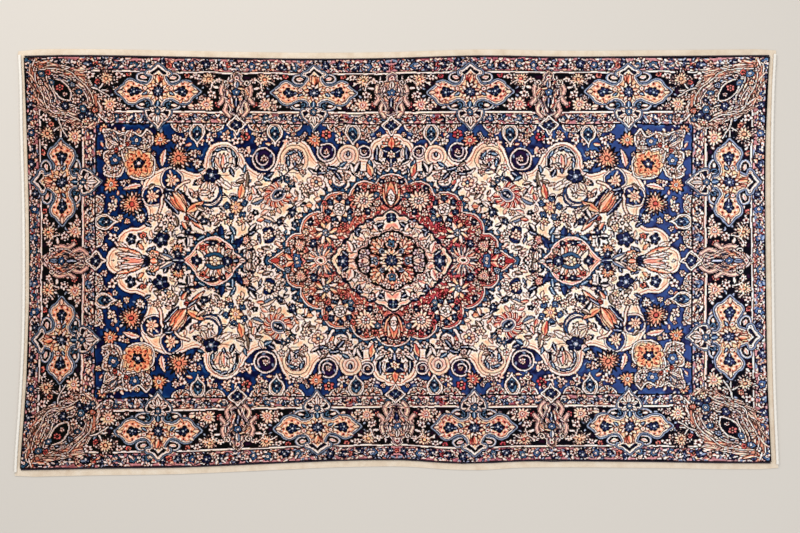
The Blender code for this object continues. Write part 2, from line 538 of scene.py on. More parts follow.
BAY = smooth(((-6, -1.8), (-2, -3.4), (3, -2.6), (5.6, 0), (4, 3), (0, 3.6), (-4, 1.8)), closed=True)


def draw_cartouche(chart, spot):
    """A cross of two lobes along the border, a dark chevron outside and an ivory lily inside."""
    head, at = spot.turn, spot.at
    for half in spot.halves():
        for x, y in ((14.6, 14.4), (15.2, -13.8)):
            chart.shape(BAY, ((2.7, INK), (2.2, SLATE), (0.9, CREAM), (0.4, INK)),
                        half(x, y), head, half.side)
    chart.shape(CARTOUCHE, ((2.8, INK), (2.2, SLATE), (0.8, INK), (0.3, IVORY), (-0.8, BROWN), (-1.3, GOLD)),
                at, head, spot.side)
    where, x, y = chart.local(at, 44, head, spot.side)
    gap, _ = distance_to(x, y, CARTOUCHE)
    chart.filigree(where, gap, 1.8, 240, ("petal", "gilt", "bronze", "amber", "rose"), 24, 4.6, 2, 60)
    chart.shape(CHEVRON, ((0.9, IVORY), (0.1, INK), (-0.8, NAVY)), at, head, spot.side)
    chart.shape(LILY, ((2, INK), (1.5, SLATE), (0.5, INK), (0, CREAM), (-1.4, INK), (-1.8, NAVY)),
                at, head, spot.side)
    for hand, half in zip((-1, 1), spot.halves()):
        chart.leaves((("blush", 18, 15.4, -104, 7, 3.6), ("rose", 19, -14.6, -82, 6, 2.8)), axes=half)
        chart.spiral(half(11, -13.4), 2.8, 0.8, 0.9, TEAL, spot.head(180), hand, INK)
        flower = half(24.8, 0)
        chart.disc(flower, 8.8, AMBER)
        for k in range(16):
            way = math.radians(22.5 * k)
            bead = spot(hand * 24.8 + 7.8 * math.sin(way), 7.8 * math.cos(way))
            chart.disc(bead, 1, (CRIMSON, PINK)[k % 2])
        chart.leaf("navy", flower, half.head(-90), 8.6, 4.4)
        chart.rosette(flower, 5, NAVY, TEAL, PINK, 5, half.head(90))
        chart.leaves((("bronze", 34.6, 0, 90, 6, 3.2), ("teal", 11.2, -1, 124, 5.6, 2.8)), axes=half)
        chart.disc(half(13.4, 3), 2, CREAM, BROWN)
        chart.disc(half(13.4, 3), 0.9, RUST)
        chart.leaves((("ivory", 0, -22, 56, 9.4, 3.8), ("ivory", 0, -23, 108, 9.6, 3.8),
                      ("ivory", 1, -25, 146, 8, 3.8)), axes=half)
    for k in range(11):
        chart.leaf(("petal", "gilt", "ember")[k % 3], at, 32.7 * k, 10, 3.6, 0.2)
    chart.rosette(at, 5.6, NAVY, SLATE, IVORY, 8)
    for turn in (-30, 30, -10, 10):
        chart.leaf("ember", spot(0, 8.4), spot.head(turn), 9, 3.8)
    chart.leaves((("teal", 0, -9.4, 180, 7, 4.6), ("ivory", 0, -24, 180, 10.4, 4)), axes=spot)
    chart.flower("teal", spot(0, -20.8), 3.4)


PALMETTE = mirrored((
    (0, -27), (4, -26), (7.4, -23.4), (6, -19.4), (8, -14), (12.4, -6.6), (13.6, 1), (11.4, 6.6), (15, 9.8),
    (13.4, 14), (7.6, 13.4), (5, 16.4), (5.4, 20), (2.6, 22.6), (0, 24),
))
DIAMOND = mirrored((
    (0, -43.6), (0, -43.6), (2.6, -39), (5.4, -37.6), (9, -34), (9, -34), (5.4, -30.6), (2.6, -28.6),
    (0, -25.4), (0, -25.4),
))
PALMETTE_WINGS = (
    ((7, 9), (12.6, 8), (14.8, 1), (12.6, -6), (16.6, -12)),
    ((5, -6), (9, -12), (11, -19), (7, -25)),
)


def draw_border_palmette(chart, spot):
    """An upright palmette of fine beige lines with curling wings, on an ivory-edged diamond."""
    head, at = spot.turn, spot.at
    for half in spot.halves():
        for width, tendril in ((0.9, ((10, 11), (18, 13), (24, 9), (26, 2))),
                               (0.8, ((24, 9), (31, 12), (38, 8)))):
            chart.line([half(x, y) for x, y in tendril], width, CREAM)
        chart.flower("pink", half(25, -2), 3.8)
        chart.leaf("sprig", half(17, 4), half.head(80), 7, 2.4)
        for wing in PALMETTE_WINGS:
            path = [half(x, y) for x, y in wing]
            for width, colour in ((5.6, INK), (4.2, BEIGE), (3.2, BROWN), (2.6, LILAC), (1.4, SALMON)):
                chart.line(path, width, colour)
    chart.shape(PALMETTE, ((1.1, INK), (0.6, CREAM), (-0.4, INK), (-0.9, LILAC), (-1.7, PLUM)),
                at, head, spot.side, 0.9)
    where, x, y = chart.local(at, 30, head, spot.side)
    gap, _ = distance_to(x / 0.9, y / 0.9, PALMETTE)
    kinds = ("bronze", "olive", "lilac", "petal", "slate", "amber")
    chart.filigree(where, gap, 1.6, 460, kinds, 27, 6.4, 1.6, 24)
    chart.leaves((("slate", 0, 4, 0, 9, 4.4), ("navy", 0, -5, 180, 11, 4.4)), axes=spot)
    chart.rosette(at, 3.6, BLUE, SKY, IVORY, 5)
    for hand in (-1, 1):
        chart.spiral(spot(hand * 10.6, 10.4), 3, 1, 0.8, CREAM, spot.head(180), hand, INK)
    chart.disc(spot(0, 15.6), 1.3, CRIMSON, CREAM)
    chart.shape(DIAMOND, ((1.7, INK), (1.2, IVORY), (-0.2, INK), (-0.8, BEIGE)), at, head)
    chart.rosette(spot(0, -34.4), 5, NAVY, TEAL, IVORY, 4)


# Beside each cartouche, measured along the border and out from its middle.
GROUND_FLOWERS = (  # (kind, along, out, radius)
    ("sun", 49.6, 13.4, 8.2), ("peony", 48.4, -13, 7.4), ("pink", 38.4, 16.4, 3.4), ("rust", 29, 17.4, 2.8),
    ("peach", 39.6, -15.6, 3.6), ("peach", 54.6, -3.6, 3.4), ("pink", 60.4, 12.6, 3),
    ("rust", 60, -12.6, 3.2),
)
GROUND_LEAVES = (  # (kind, along, out, turn, length)
    ("rose", 40, 8.6, 20, 6), ("sprig", 40.6, -6.6, 160, 6), ("rose", 50, 0, 100, 5.6),
    ("sprig", 51, 16.6, 70, 6), ("rose", 51, -16.4, 110, 6), ("sprig", 32, 14.6, 60, 5),
    ("sprig", 32.6, -14, 120, 5), ("mist", 24, -15.6, 80, 4), ("sprig", 58, 9, 10, 6),
    ("rose", 58, -9.6, 170, 6), ("mist", 44, 3.4, 60, 4.4), ("mist", 44.4, -2.8, 120, 4.4),
    ("mist", 41.4, 16.8, 80, 5), ("sprig", 42.4, -17.2, 95, 5), ("mist", 61, 2.6, 30, 5),
    ("rose", 61, -5, 150, 5),
)


def draw_main_border(chart):
    """The dark border of cartouches and palmettes, with its ground of blossoms and its edge lines."""
    for side, _, _, cartouches in RUNS:
        for centre in cartouches:
            for hand in (-1, 1):
                chart.line([side(centre + hand * along, BORDER_MIDDLE + out).at for along, out in
                            ((44, 9), (51, 3), (50, -5), (44, -9))], 0.7, CREAM)
                for kind, along, out, turn, long in GROUND_LEAVES:
                    spot = side(centre + hand * along, BORDER_MIDDLE + out)
                    chart.leaf(kind, spot.at, spot.head(hand * turn), long, long * 0.42)
                for kind, along, out, radius in GROUND_FLOWERS:
                    spot = side(centre + hand * along, BORDER_MIDDLE + out)
                    chart.flower(kind, spot.at, radius, 13 * along)
    chart.sprinkle(NIGHT, (EDGE_U, EDGE_V), 90, ("petal", "ember", "rose", "bronze", "lilac"), 52, 1.35)
    chart.sprinkle(NIGHT, (EDGE_U, EDGE_V), 160, ("rose", "lilac", "mist", "pink"), 54, 0.9)
    draw_bands(chart, BORDER_LINES)
    edge = np.minimum(EDGE_U - DARK_RIM[0] - chart.u[None, :], EDGE_V - DARK_RIM[1] - chart.v[:, None])
    chart.lay((slice(None), slice(None)), edge, INK)
    draw_corner(chart)
    for side, _, palmettes, cartouches in RUNS:
        for centre in palmettes:
            draw_border_palmette(chart, side(centre, BORDER_MIDDLE))
        for centre in cartouches:
            draw_cartouche(chart, side(centre, BORDER_MIDDLE))


CORNER = (323.5, 165.5)
PAISLEY = smooth(np.array((
    (355.5, 197), (341, 198), (329, 195), (314, 191.5), (304, 182), (298.5, 172), (292.5, 159), (290, 147),
    (294, 138), (304, 133.5), (313.5, 133.5), (324, 139), (336, 143.5), (346, 150), (351.5, 161),
    (355, 177),
)) - CORNER, closed=True)
ALMOND = mirrored((
    (0, -12), (0, -12), (3.6, -7.5), (5.2, -1.4), (4.8, 4), (3, 8.4), (0, 12), (0, 12),
))
PAISLEY_FLOWERS = (  # (kind, u, v, radius) round the eye and down to the field's corner
    ("teal", 337.4, 178.4, 3.2), ("navy", 324.4, 154, 4), ("peach", 314.4, 159.4, 3.6),
    ("teal", 311.6, 168.6, 3), ("slate", 318, 176, 2.6), ("pink", 331, 158, 2.4),
    ("navy", 307.4, 160.6, 2.8), ("teal", 307.6, 150.6, 3.6), ("pink", 315, 149.6, 2.8),
    ("gold", 300.4, 153.6, 3.2), ("navy", 301.6, 145.6, 4), ("navy", 309, 142.6, 3.4),
    ("gold", 305.6, 137.6, 3.4), ("ray", 296.4, 149.6, 2.8), ("teal", 346, 187, 3.4),
    ("rust", 339.6, 188.6, 2.6), ("gold", 347.6, 178, 2.6), ("pink", 352, 192, 2.4),
    ("pink", 333.6, 184.6, 2.2), ("teal", 296.6, 140.6, 2.8),
)
CORNER_GROUND = (  # (kind, along, out, radius) on the dark ground beside the paisley
    ("sun", 284.8, 47.4, 8.2), ("peony", 281.4, 20.8, 7.4), ("pink", 301, 50.4, 4), ("peach", 274.6, 36, 3),
    ("pink", 291, 30, 2.8), ("rust", 294, 43.6, 2.6), ("white", 272, 26.4, 2.4),
)
CORNER_SPRAYS = (  # (root, bend, tips) of the stems beside the paisley's foot
    ((299, 172.6), (293, 171), ((283, 170.6), (288, 177.6), (289, 165.6), (281.6, 164.6))),
    ((331, 141), (329.4, 133.4), ((328.8, 123), (335.6, 128.6), (323, 129.4), (322.6, 122))),
)


def draw_corner(chart):
    """The corner's paisley: a broad leaf on the diagonal, filled with curled leaves round a dark eye."""
    where, x, y = chart.local(CORNER, 56)
    gap, along = distance_to(x, y, PAISLEY)
    chart.nest(where, gap, ((1.8, INK), (1.2, CREAM), (0.2, INK), (-0.4, TAN)))
    body = ("olive", "bronze", "ember", "cream", "olive", "lilac", "bronze")
    chart.filigree(where, gap, 0.4, 1100, body, 21, 12, 1.7, 10)
    heart = ("teal", "cream", "slate", "olive", "lilac", "navy", "navy")
    chart.filigree(where, gap, 12, 500, heart, 22, 5, 2.1, 70)
    swirl = gap + 1.6 * np.sin(along / 6.5)
    for depth, colour in ((5, CREAM), (10.5, BEIGE), (15.5, CREAM)):
        chart.nest(where, np.abs(swirl + depth), ((1.1, INK), (0.5, colour)))
    chart.shape(ALMOND, ((2.6, INK), (2.1, CREAM), (0.9, INK), (-0.4, NIGHT)), (327.9, 170.7), 36)
    chart.flower("rust", (329.8, 173.2), 3.4)
    chart.flower("pink", (325.2, 166.4), 2)
    for radius in (7.4, 5.4):
        chart.spiral((324.4, 154.4), radius, 0.5, 1, CREAM, 110, 1, INK)
    for kind, u, v, radius in PAISLEY_FLOWERS:
        chart.flower(kind, (u, v), radius, 9 * v)
    for kind, along, out, radius in CORNER_GROUND:
        for at in ((along, FIELD_V + out), (FIELD_U + out, along - FIELD_U + FIELD_V)):
            chart.flower(kind, at, radius, along)
    for root, bend, tips in CORNER_SPRAYS:
        for tip in tips:
            chart.line([root, bend, tip], 1, IVORY, INK)


# ---------------------------------------------------------------- the blue band of the field

TULIP = mirrored((
    (0, 0), (3.6, 0.4), (6.6, 4), (7.6, 9), (5.8, 13.6), (2.8, 16.6), (1, 19.6), (0, 22.4), (0, 22.4),
))


def draw_edge_pendants(chart):
    """Ivory-edged drops and half discs that hang from the field's edge."""
    for side, places in ((far_side, (38.8, 116.4, 194)), (end_side, (39,))):
        for middle in places:
            for hand in (-1, 1):
                spot = side(middle + hand * 16.5, 0)
                where, x, y = chart.local(spot.at, 12, spot.turn)
                gap = np.where(y > 0, 9, (np.hypot(x / 10.6, y / 8.2) - 1) * 8)
                chart.nest(where, gap, ((0, INK), (-0.6, IVORY), (-1.8, BROWN), (-2.2, CREAM)))
                for k in range(-4, 5):
                    chart.leaf(("ember", "split", "cream")[k % 3], spot.at, spot.head(180 + 21 * k),
                               6.6 + abs(k) * 0.3, 2.5)
                gap = np.where(y > 0, 9, np.hypot(x, y))
                chart.nest(where, gap, ((3, INK), (2.3, SALMON), (1.1, NAVY)))
                chart.leaf("cream", side(middle + hand * 7.4, -0.6).at, spot.head(180 + hand * 22), 7, 3)
            spot = side(middle, 0.4)
            layers = ((0.9, INK), (0.3, IVORY), (-1.2, INK), (-1.6, CREAM), (-2.6, INK), (-3, SKY))
            chart.shape(TULIP, layers, spot.at, spot.turn + 180)
            chart.leaf("teal", spot(0, -2.6), spot.head(180), 14, 8.6)
            chart.rosette(spot(0, -10), 3.2, NAVY, SKY, IVORY, 4)


BLUE_FLOWERS = (  # (kind, u, v, radius) on the blue ground
    ("fire", 212.4, 102.4, 10.4), ("fire", 259.6, 56.4, 10.4), ("ray", 231.6, 120.6, 6.6),
    ("ray", 280, 75.8, 6.6), ("ray", 77.4, 120.2, 6.4), ("cream", 194.6, 96.6, 4.4),
    ("cream", 250.4, 42.4, 4.4), ("peach", 279, 53, 4.4), ("pink", 278, 23.4, 4.4),
    ("peach", 198.6, 106.6, 4), ("pink", 209.8, 119.6, 4.4), ("white", 181.6, 119.6, 4),
    ("peach", 166, 123.2, 4.6), ("pink", 156, 119.6, 4.2), ("rust", 146, 123.6, 4.4),
    ("peach", 132.6, 119.2, 4.4), ("pink", 145, 106.4, 3.8), ("pink", 102.4, 120, 3.8),
    ("rust", 65.4, 126, 4.6), ("white", 52.6, 119.6, 3.6), ("pink", 22.6, 121.4, 3.6),
    ("orange", 287.4, 130.6, 4.6),
)
BLUE_LEAVES = (  # (kind, u, v, turn, length, width, bend, teeth)
    ("blush", 229.6, 94, -2, 17, 6.4, -0.2, 5), ("blush", 250.6, 74.8, 92, 17, 6.4, 0.2, 5),
    ("rose", 240, 97, 350, 9, 3), ("rose", 255.6, 84.6, 80, 9, 3),
)
SCROLLS = ((127.6, 101.4, 10.4, 60), (65.4, 108.2, 8.6, 40), (27.0, 108.6, 5.8, 60))  # (u, v, radius, start)


def draw_blue_band(chart):
    """The scrolls, leaves and blossoms on the blue ground round the ivory one."""
    for u, v, radius, start in SCROLLS:
        where, x, y = chart.local((u, v), radius + 3)
        r = np.hypot(x, y)
        chart.nest(where, r - radius, ((1.5, INK), (0.9, PINK), (-0.5, INK), (-1, INDIGO)))
        chart.spiral((u, v), radius * 0.72, 1.1, 1, PINK, start, 1)
        chart.flower("peach", (u - 0.4, v + 0.6), radius * 0.3)
        for turn in (40, 160, 280):
            chart.leaf("mist", Place(u, v, turn)(0, radius * 0.7), turn + 70, radius * 0.42, radius * 0.2)
    chart.leaves(BLUE_LEAVES)
    for k, (kind, u, v, radius) in enumerate(BLUE_FLOWERS):
        for turn in (50 * k, 50 * k + 160):
            chart.leaf(("mist", "sprig", "rose")[k % 3], Place(u, v, turn)(0, radius), turn + 15, 3.8, 1.9)
        chart.flower(kind, (u, v), radius, 23 * k)
    kinds = ("peach", "rose", "gold", "ember", "pink", "mist")
    chart.sprinkle(FIELD, (FIELD_U, FIELD_V), 60, kinds, 51, 1.35)
    chart.sprinkle(FIELD, (FIELD_U, FIELD_V), 110, kinds, 53)


SPANDREL = (  # outline of each part, on the chart
    ("square", (
        (287, 128.6), (287, 128.6), (284.4, 119), (283, 112), (275, 111), (270, 112.6), (266, 118.6),
        (267.6, 125.6), (272.6, 124.4), (277.6, 127.8))),
    ("top", (
        (266, 120), (264, 126.8), (258, 125.6), (253.6, 123), (249.4, 123.4), (244.4, 129.4), (244.4, 129.4),
        (240.6, 124.6), (240.2, 119), (243, 114), (249.6, 111.4), (259.6, 110), (267, 111.6))),
    ("side", (
        (276, 107.6), (286, 106), (284.6, 98), (279.6, 91.2), (286.2, 86), (286.2, 86), (280, 83.6),
        (272.4, 85.2), (269.2, 90.6), (267, 99), (267.4, 107.4))),
    ("disc", (
        (267.4, 110.4), (261, 110.4), (253, 108.8), (244, 106), (238.6, 101), (238, 92), (239.6, 86),
        (246, 83), (256, 83), (262.6, 87.6), (265, 95), (268, 104))),
)
SPANDREL_FLOWERS = (  # (kind, u, v, radius)
    ("blue", 255.8, 118.8, 5.4), ("white", 246.8, 118.2, 2.8), ("blue", 276.4, 100, 5.4),
    ("white", 275.6, 90.6, 2.8), ("white", 270.4, 113, 4.2), ("pink", 266.4, 109, 2.4),
    ("pink", 273.6, 117, 2.4), ("rust", 264.6, 115, 2.2), ("rust", 275, 109.4, 2.2),
)


def draw_spandrel(chart):
    """The corner's flower: three ivory-edged wings and a gold disc, opening from one white blossom."""
    for name, points in SPANDREL:
        centre = np.mean(points, axis=0)
        loop = smooth(points - centre, closed=True)
        chart.shape(loop, ((2.4, INK), (1.8, IVORY), (0.3, INK), (-0.3, CREAM), (-1.2, BROWN),
                           (-1.7, GOLD if name == "disc" else OLIVE)), centre)
        if name != "disc":
            where, x, y = chart.local(centre, 16)
            gap, _ = distance_to(x, y, loop)
            kinds = ("lilac", "bronze", "slate", "olive", "petal")
            chart.filigree(where, gap, 1.6, 260, kinds, 31, 4.6, 2, 60)
    disc = (252.8, 97)
    chart.rosette(disc, 13.6, GOLD, ORANGE, NAVY, 8, 0, BROWN)
    chart.rosette(disc, 10, APRICOT, ORANGE, NAVY, 11, 0, RUST)
    for k in range(16):
        chart.disc(Place(*disc, 22.5 * k)(0, (11, 7.4)[k % 2]), 1.1, (RUST, BROWN)[k % 2])
    chart.rosette(disc, 5, NAVY, PINK, IVORY, 5)
    chart.flowers(SPANDREL_FLOWERS)
    for k in range(4):
        chart.leaf(("slate", "ivory")[k % 2], (273, 114), 14 + 17 * k, 13, 3)


# ---------------------------------------------------------------- the ivory ground

FIELD_LINE = (  # the scalloped edge of the ivory ground, from over the middle round to the end's axis
    (-6, 125.4), (0, 125.8), (7, 124.6), (12, 121), (17.6, 118), (20.8, 111), (18.8, 104.6), (21.4, 100.6),
    (27, 99.6), (33.4, 102.6), (36.8, 109), (44.3, 113.2), (51, 110), (54.6, 102.6), (59.6, 97.6),
    (66, 96.2), (74, 98.4), (79.4, 105), (83.4, 113), (89.6, 118), (97, 119), (105, 116), (110.4, 108.4),
    (113.6, 98.6), (118, 90), (127.4, 86), (138, 88.6), (146.2, 96), (151, 105.6), (157, 112.4), (165, 116),
    (173, 115.6), (180.6, 111), (185.4, 103), (186.4, 94.6), (189, 88.2), (195, 85.2), (203, 86.8),
    (212, 90), (224, 91), (232, 88.4), (240, 84.6), (244.6, 78), (247.6, 70), (247, 60), (242.6, 51),
    (241.4, 42), (245, 34.4), (252, 30.8), (262, 30.6), (270, 25), (272.6, 17.4), (272.4, 12.8),
    (272.4, 12.8), (279, 9.8), (282.4, 4), (282.6, 0), (282.4, -6),
)
EAR = smooth(((-9, 5), (-3, 8.6), (5, 8), (9, 2), (7.6, -5), (1, -8), (-5, -7.6), (-8, -2)), closed=True)


def quarter_outline(chart, line, core):
    """Distance to a shape that spans the middle, from its outline in this quarter."""
    loop = np.vstack([line, [(-6, -6)]])
    high = line.max(0) + 10
    where, u, v = chart.window(0, high[0], 0, high[1])
    gap, along = distance_to(u, v, loop)
    deep = ((u < 6) & (v < core[1])) | ((v < 6) & (u < core[0]))
    return where, np.where(deep, np.minimum(gap, -20), gap), along


def draw_ivory_ground(chart):
    """The ivory ground with its lined edge, and the two ears and the stem on its shoulder."""
    where, gap, _ = quarter_outline(chart, smooth(FIELD_LINE), (262, 100))
    chart.nest(where, gap, ((2.2, INK), (1.6, PINK), (0.2, CREAM), (-0.9, RUST), (-1.4, IVORY),
                           (-3.2, SALMON), (-3.7, IVORY)))
    for u, v, turn in ((219.6, 81, 70), (238, 64, 15)):
        spot = Place(u, v, turn)
        chart.shape(EAR, ((2.6, INK), (2.1, PINK), (0.7, INK), (0.2, FIELD)), spot.at, turn)
        chart.flower("ear", spot(1, 0), 6.2)
        chart.leaf("rose", spot(-4, 3), spot.head(300), 4.4, 2)
        chart.leaf("mist", spot(3, -4), spot.head(150), 4, 2)
    for points in (((203, 79), (212, 75.6), (218, 69.4), (224.6, 70.6)),
                   ((224.6, 70.6), (229, 62), (229.4, 54), (232, 47))):
        chart.line(points, 2.2, SALMON, BROWN)
        chart.line(points, 0.7, IVORY)
    for turn in (190, 225, 260):
        chart.leaf("navy", (226, 71.6), turn, 9, 3.6)


STEMS = (  # the curved stems on the ivory ground
    ((214, 18), (206, 34), (192, 46), (176, 54), (156, 52), (146, 62), (143, 74), (146, 84), (152, 94),
     (164, 98)),
    ((156, 52), (168, 68), (184, 62), (196, 58), (206, 56)),
    ((214, 30), (226, 28), (236, 22), (250, 20)),
    ((156, 52), (146, 40), (138, 32), (130, 26)),
    ((143, 74), (130, 70), (120, 68)),
    ((102, 60), (98, 52), (104, 46), (108, 36), (104, 30)),
    ((100, 60), (90, 58), (84, 66), (80, 72)),
    ((112, 80), (96, 94), (92, 96)),
    ((76, 80), (66, 88), (54, 91), (44, 90), (36, 90), (22, 88)),
    ((130, 26), (138, 14), (144, 8)),
    ((196, 92), (188, 84), (180, 84)),
    ((54, 91), (60, 80), (52, 76)),
)
IVORY_LEAVES = (  # (kind, u, v, turn, length, width, and where it has them bend and teeth)
    ("navy", 178, 82, 100, 11, 5.4, 0.1), ("navy", 213, 46, 37, 20, 8, 0.06, 5),
    ("navy", 200, 54, 42, 21, 8, -0.06, 5), ("coral", 205, 48, 16, 18, 5.6),
    ("coral", 206, 48, 52, 18, 5.6), ("amber", 205, 48, 25, 21, 5.6), ("amber", 206, 48, 43, 21, 5.6),
    ("coral", 205, 48, 34, 23, 5.6), ("gold", 204, 49, 296, 18, 6.4, 0.1),
    ("orange", 204, 48, 220, 23, 5.6, 0.06), ("navy", 204, 46, 232, 14, 3),
    ("split", 196, 42, 330, 12, 4.6), ("gold", 152, 62, 345, 15, 6, 0.1),
    ("olive", 147, 74, 350, 15, 7, 0, 6), ("ivory", 160, 72, 60, 14, 6.4), ("ivory", 168, 78, 60, 10, 5),
    ("slate", 140, 58, 285, 13, 7.4, 0.1, 6), ("slate", 130, 44, 250, 15, 6.6, -0.1, 7),
    ("blush", 136, 66, 20, 8, 5), ("navy", 118, 88, 118, 11, 5.4), ("navy", 109, 82, 118, 12, 7),
    ("navy", 97, 74, 60, 8, 3.6), ("split", 76, 88, 330, 9, 3.6), ("navy", 76, 87, 270, 10, 4, 0.1),
    ("split", 74, 87, 60, 9, 3.4), ("navy", 54, 91, 80, 10, 4), ("navy", 56, 88, 215, 9, 4.4, 0.1),
    ("teal", 52, 94, 300, 8, 3.6), ("split", 34, 86, 30, 12, 6), ("split", 36, 88, 335, 11, 5),
    ("navy", 68, 74, 230, 6, 3.4), ("ivory", 97, 54, 300, 9, 4.4), ("ivory", 98, 57, 20, 11, 4.4),
    ("navy", 100, 57, 60, 11, 3.8), ("navy", 96, 54, 140, 9, 3.6), ("olive", 82, 62, 40, 11, 5, 0, 5),
    ("navy", 84, 55, 90, 6, 4.6), ("gold", 79, 55, 90, 6, 5), ("teal", 21, 92, 10, 9, 4.6),
    ("gold", 20, 84, 10, 13, 5.4, 0.1), ("navy", 18, 82, 350, 11, 3), ("ivory", 142, 20, 250, 9, 4),
    ("navy", 144, 26, 290, 9, 4.4), ("split", 141, 30, 320, 9, 4.6), ("teal", 156, 26, 20, 10, 3.8, 0.2),
    ("teal", 159, 16, 350, 11, 4.2, 0.2), ("split", 146, 12, 150, 8, 4.2), ("split", 136, 10, 100, 9, 4.4),
    ("olive", 120, 12, 80, 8, 3.6), ("split", 214, 24, 270, 9, 4.2), ("split", 196, 24, 85, 9, 4.2),
    ("split", 203, 24, 180, 10, 3.8), ("olive", 214, 34, 20, 12, 5.4), ("olive", 236, 30, 300, 9, 4.6, 0.1),
    ("navy", 240, 34, 60, 7, 3.6), ("navy", 226, 12, 200, 8, 3.6), ("navy", 236, 14, 150, 8, 3.6),
    ("teal", 244, 22, 60, 9, 4), ("orange", 230, 6, 70, 14, 4.6, 0.1), ("navy", 244, 10, 300, 6, 3),
    ("ivory", 262, 12, 60, 12, 5.6, 0, 6), ("orange", 250, 6, 68, 24, 5, 0.1, 9),
    ("navy", 170, 44, 250, 8, 3.6), ("split", 180, 34, 30, 8, 3.4), ("navy", 168, 32, 100, 8, 3.2),
    ("olive", 186, 50, 60, 9, 4), ("ivory", 190, 70, 330, 9, 4.8), ("navy", 198, 76, 300, 7, 4.4),
    ("gold", 60, 76, 20, 8, 3.4), ("olive", 66, 94, 60, 8, 3.4), ("navy", 158, 84, 20, 8, 4),
    ("teal", 128, 84, 240, 8, 4), ("ivory", 132, 80, 340, 8, 4.4), ("olive", 88, 96, 120, 7, 3.4),
    ("split", 10, 96, 60, 9, 4), ("gold", 6, 94, 120, 8, 5),
)
IVORY_FLOWERS = (  # (kind, u, v, radius)
    ("cream", 226.6, 37.6, 7), ("pink", 220.4, 42, 3.8), ("peach", 233, 42.6, 4),
    ("gold", 220.6, 32.4, 3.8), ("navy", 229.6, 21.4, 7.6), ("navy", 180, 84.4, 7.6),
    ("navy", 203.4, 30.4, 4), ("navy", 187, 39.4, 4), ("peach", 170, 43.6, 4.4), ("peach", 196, 66, 3.2),
    ("peach", 178.4, 42.4, 3.4), ("pink", 183, 50, 3), ("gold", 150.6, 39.6, 3.8), ("pink", 140.6, 44, 3.4),
    ("gold", 162.6, 38, 3.4), ("navy", 112, 38.4, 3.2), ("navy", 99, 47.2, 4.2), ("gold", 93.4, 44.4, 3.4),
    ("navy", 96.6, 36.6, 3.2), ("white", 111.6, 92.6, 3.4), ("peach", 86.6, 71.8, 4.4),
    ("star", 145.4, 20.6, 4.4), ("peach", 142, 14.6, 3), ("pink", 128, 7.4, 3.6), ("white", 109, 25.4, 3),
    ("gold", 238.6, 5.4, 3.4), ("rust", 247.6, 25, 3), ("navy", 259.2, 21.4, 5), ("pink", 11, 92.6, 3.6),
    ("pink", 28.6, 83.6, 3), ("peach", 44.6, 84, 3), ("peach", 193, 78, 3), ("gold", 104.6, 72, 2.6),
    ("pink", 62.6, 84.6, 2.8), ("pink", 69, 91.6, 2.8), ("white", 240.4, 42, 2.8), ("pink", 217.6, 8, 3.2),
    ("gold", 118.6, 48, 2.8), ("peach", 88.6, 88, 3), ("rust", 204.6, 42, 2.4),
)


def draw_crescent(chart, at, size, turn, kind):
    """A pale blossom lying in a dark crescent."""
    spot = Place(*at, turn)
    where, x, y = chart.local(at, size * 1.3, turn)
    chart.nest(where, np.hypot(x, y - size * 0.2), ((size * 0.86, BROWN), (size * 0.80, IVORY)))
    moon = np.maximum(np.hypot(x, y) - size, size * 0.9 - np.hypot(x, y - size * 0.36))
    chart.nest(where, moon, ((0.5, INK), (0, BLUE), (-1.3, INK), (-1.8, IVORY), (-2.5, NAVY)))
    chart.flower(kind, spot(0, size * 0.2), size * 0.36)
    for turn in (-70, -30, 30, 70):
        chart.leaf("ivory", spot(0, size * 0.2), spot.head(turn), size * 0.8, size * 0.34)


def draw_fringed_palmette(chart, at, turn, radius):
    """A great palmette whose rim is a fringe of salmon, pink and red rays."""
    spot = Place(*at, turn)
    for k in range(31):
        angle = 9 * k - 135
        way = math.radians(angle)
        foot = spot(6.0 * math.sin(way), 8.0 * math.cos(way))
        chart.leaf(("rose", "petal", "flame")[k % 3], foot, spot.head(angle + 14), radius * 0.5, 2.4, 0.2)
    where, x, y = chart.local(at, radius, turn)
    r = np.hypot(x / 0.8, y)
    for share, colour in ((0.60, BROWN), (0.56, PINK), (0.46, BROWN),
                          (0.43, SLATE), (0.32, INK), (0.28, NAVY)):
        chart.lay(where, r - radius * share, colour)
    for share in (-0.16, 0.06, 0.24):
        chart.disc(spot(0, radius * share), 0.9, IVORY)
    chart.leaf("navy", spot(0, -radius * 0.4), spot.head(180), radius * 0.7, 4)


LOBES = ((167.4, 99.4, 15.4, 1), (96.8, 100.6, 14.0, 2), (43.4, 104.8, 11.0, 3))  # (u, v, radius, rings)
LOBE_RINGS = ((CREAM, CREAM), (PINK, PINK), (PINK, CREAM))  # (outer, inner colour) of each, from the rim
LOBE_STEP = 3.4  # from one ring of a lobe to the next


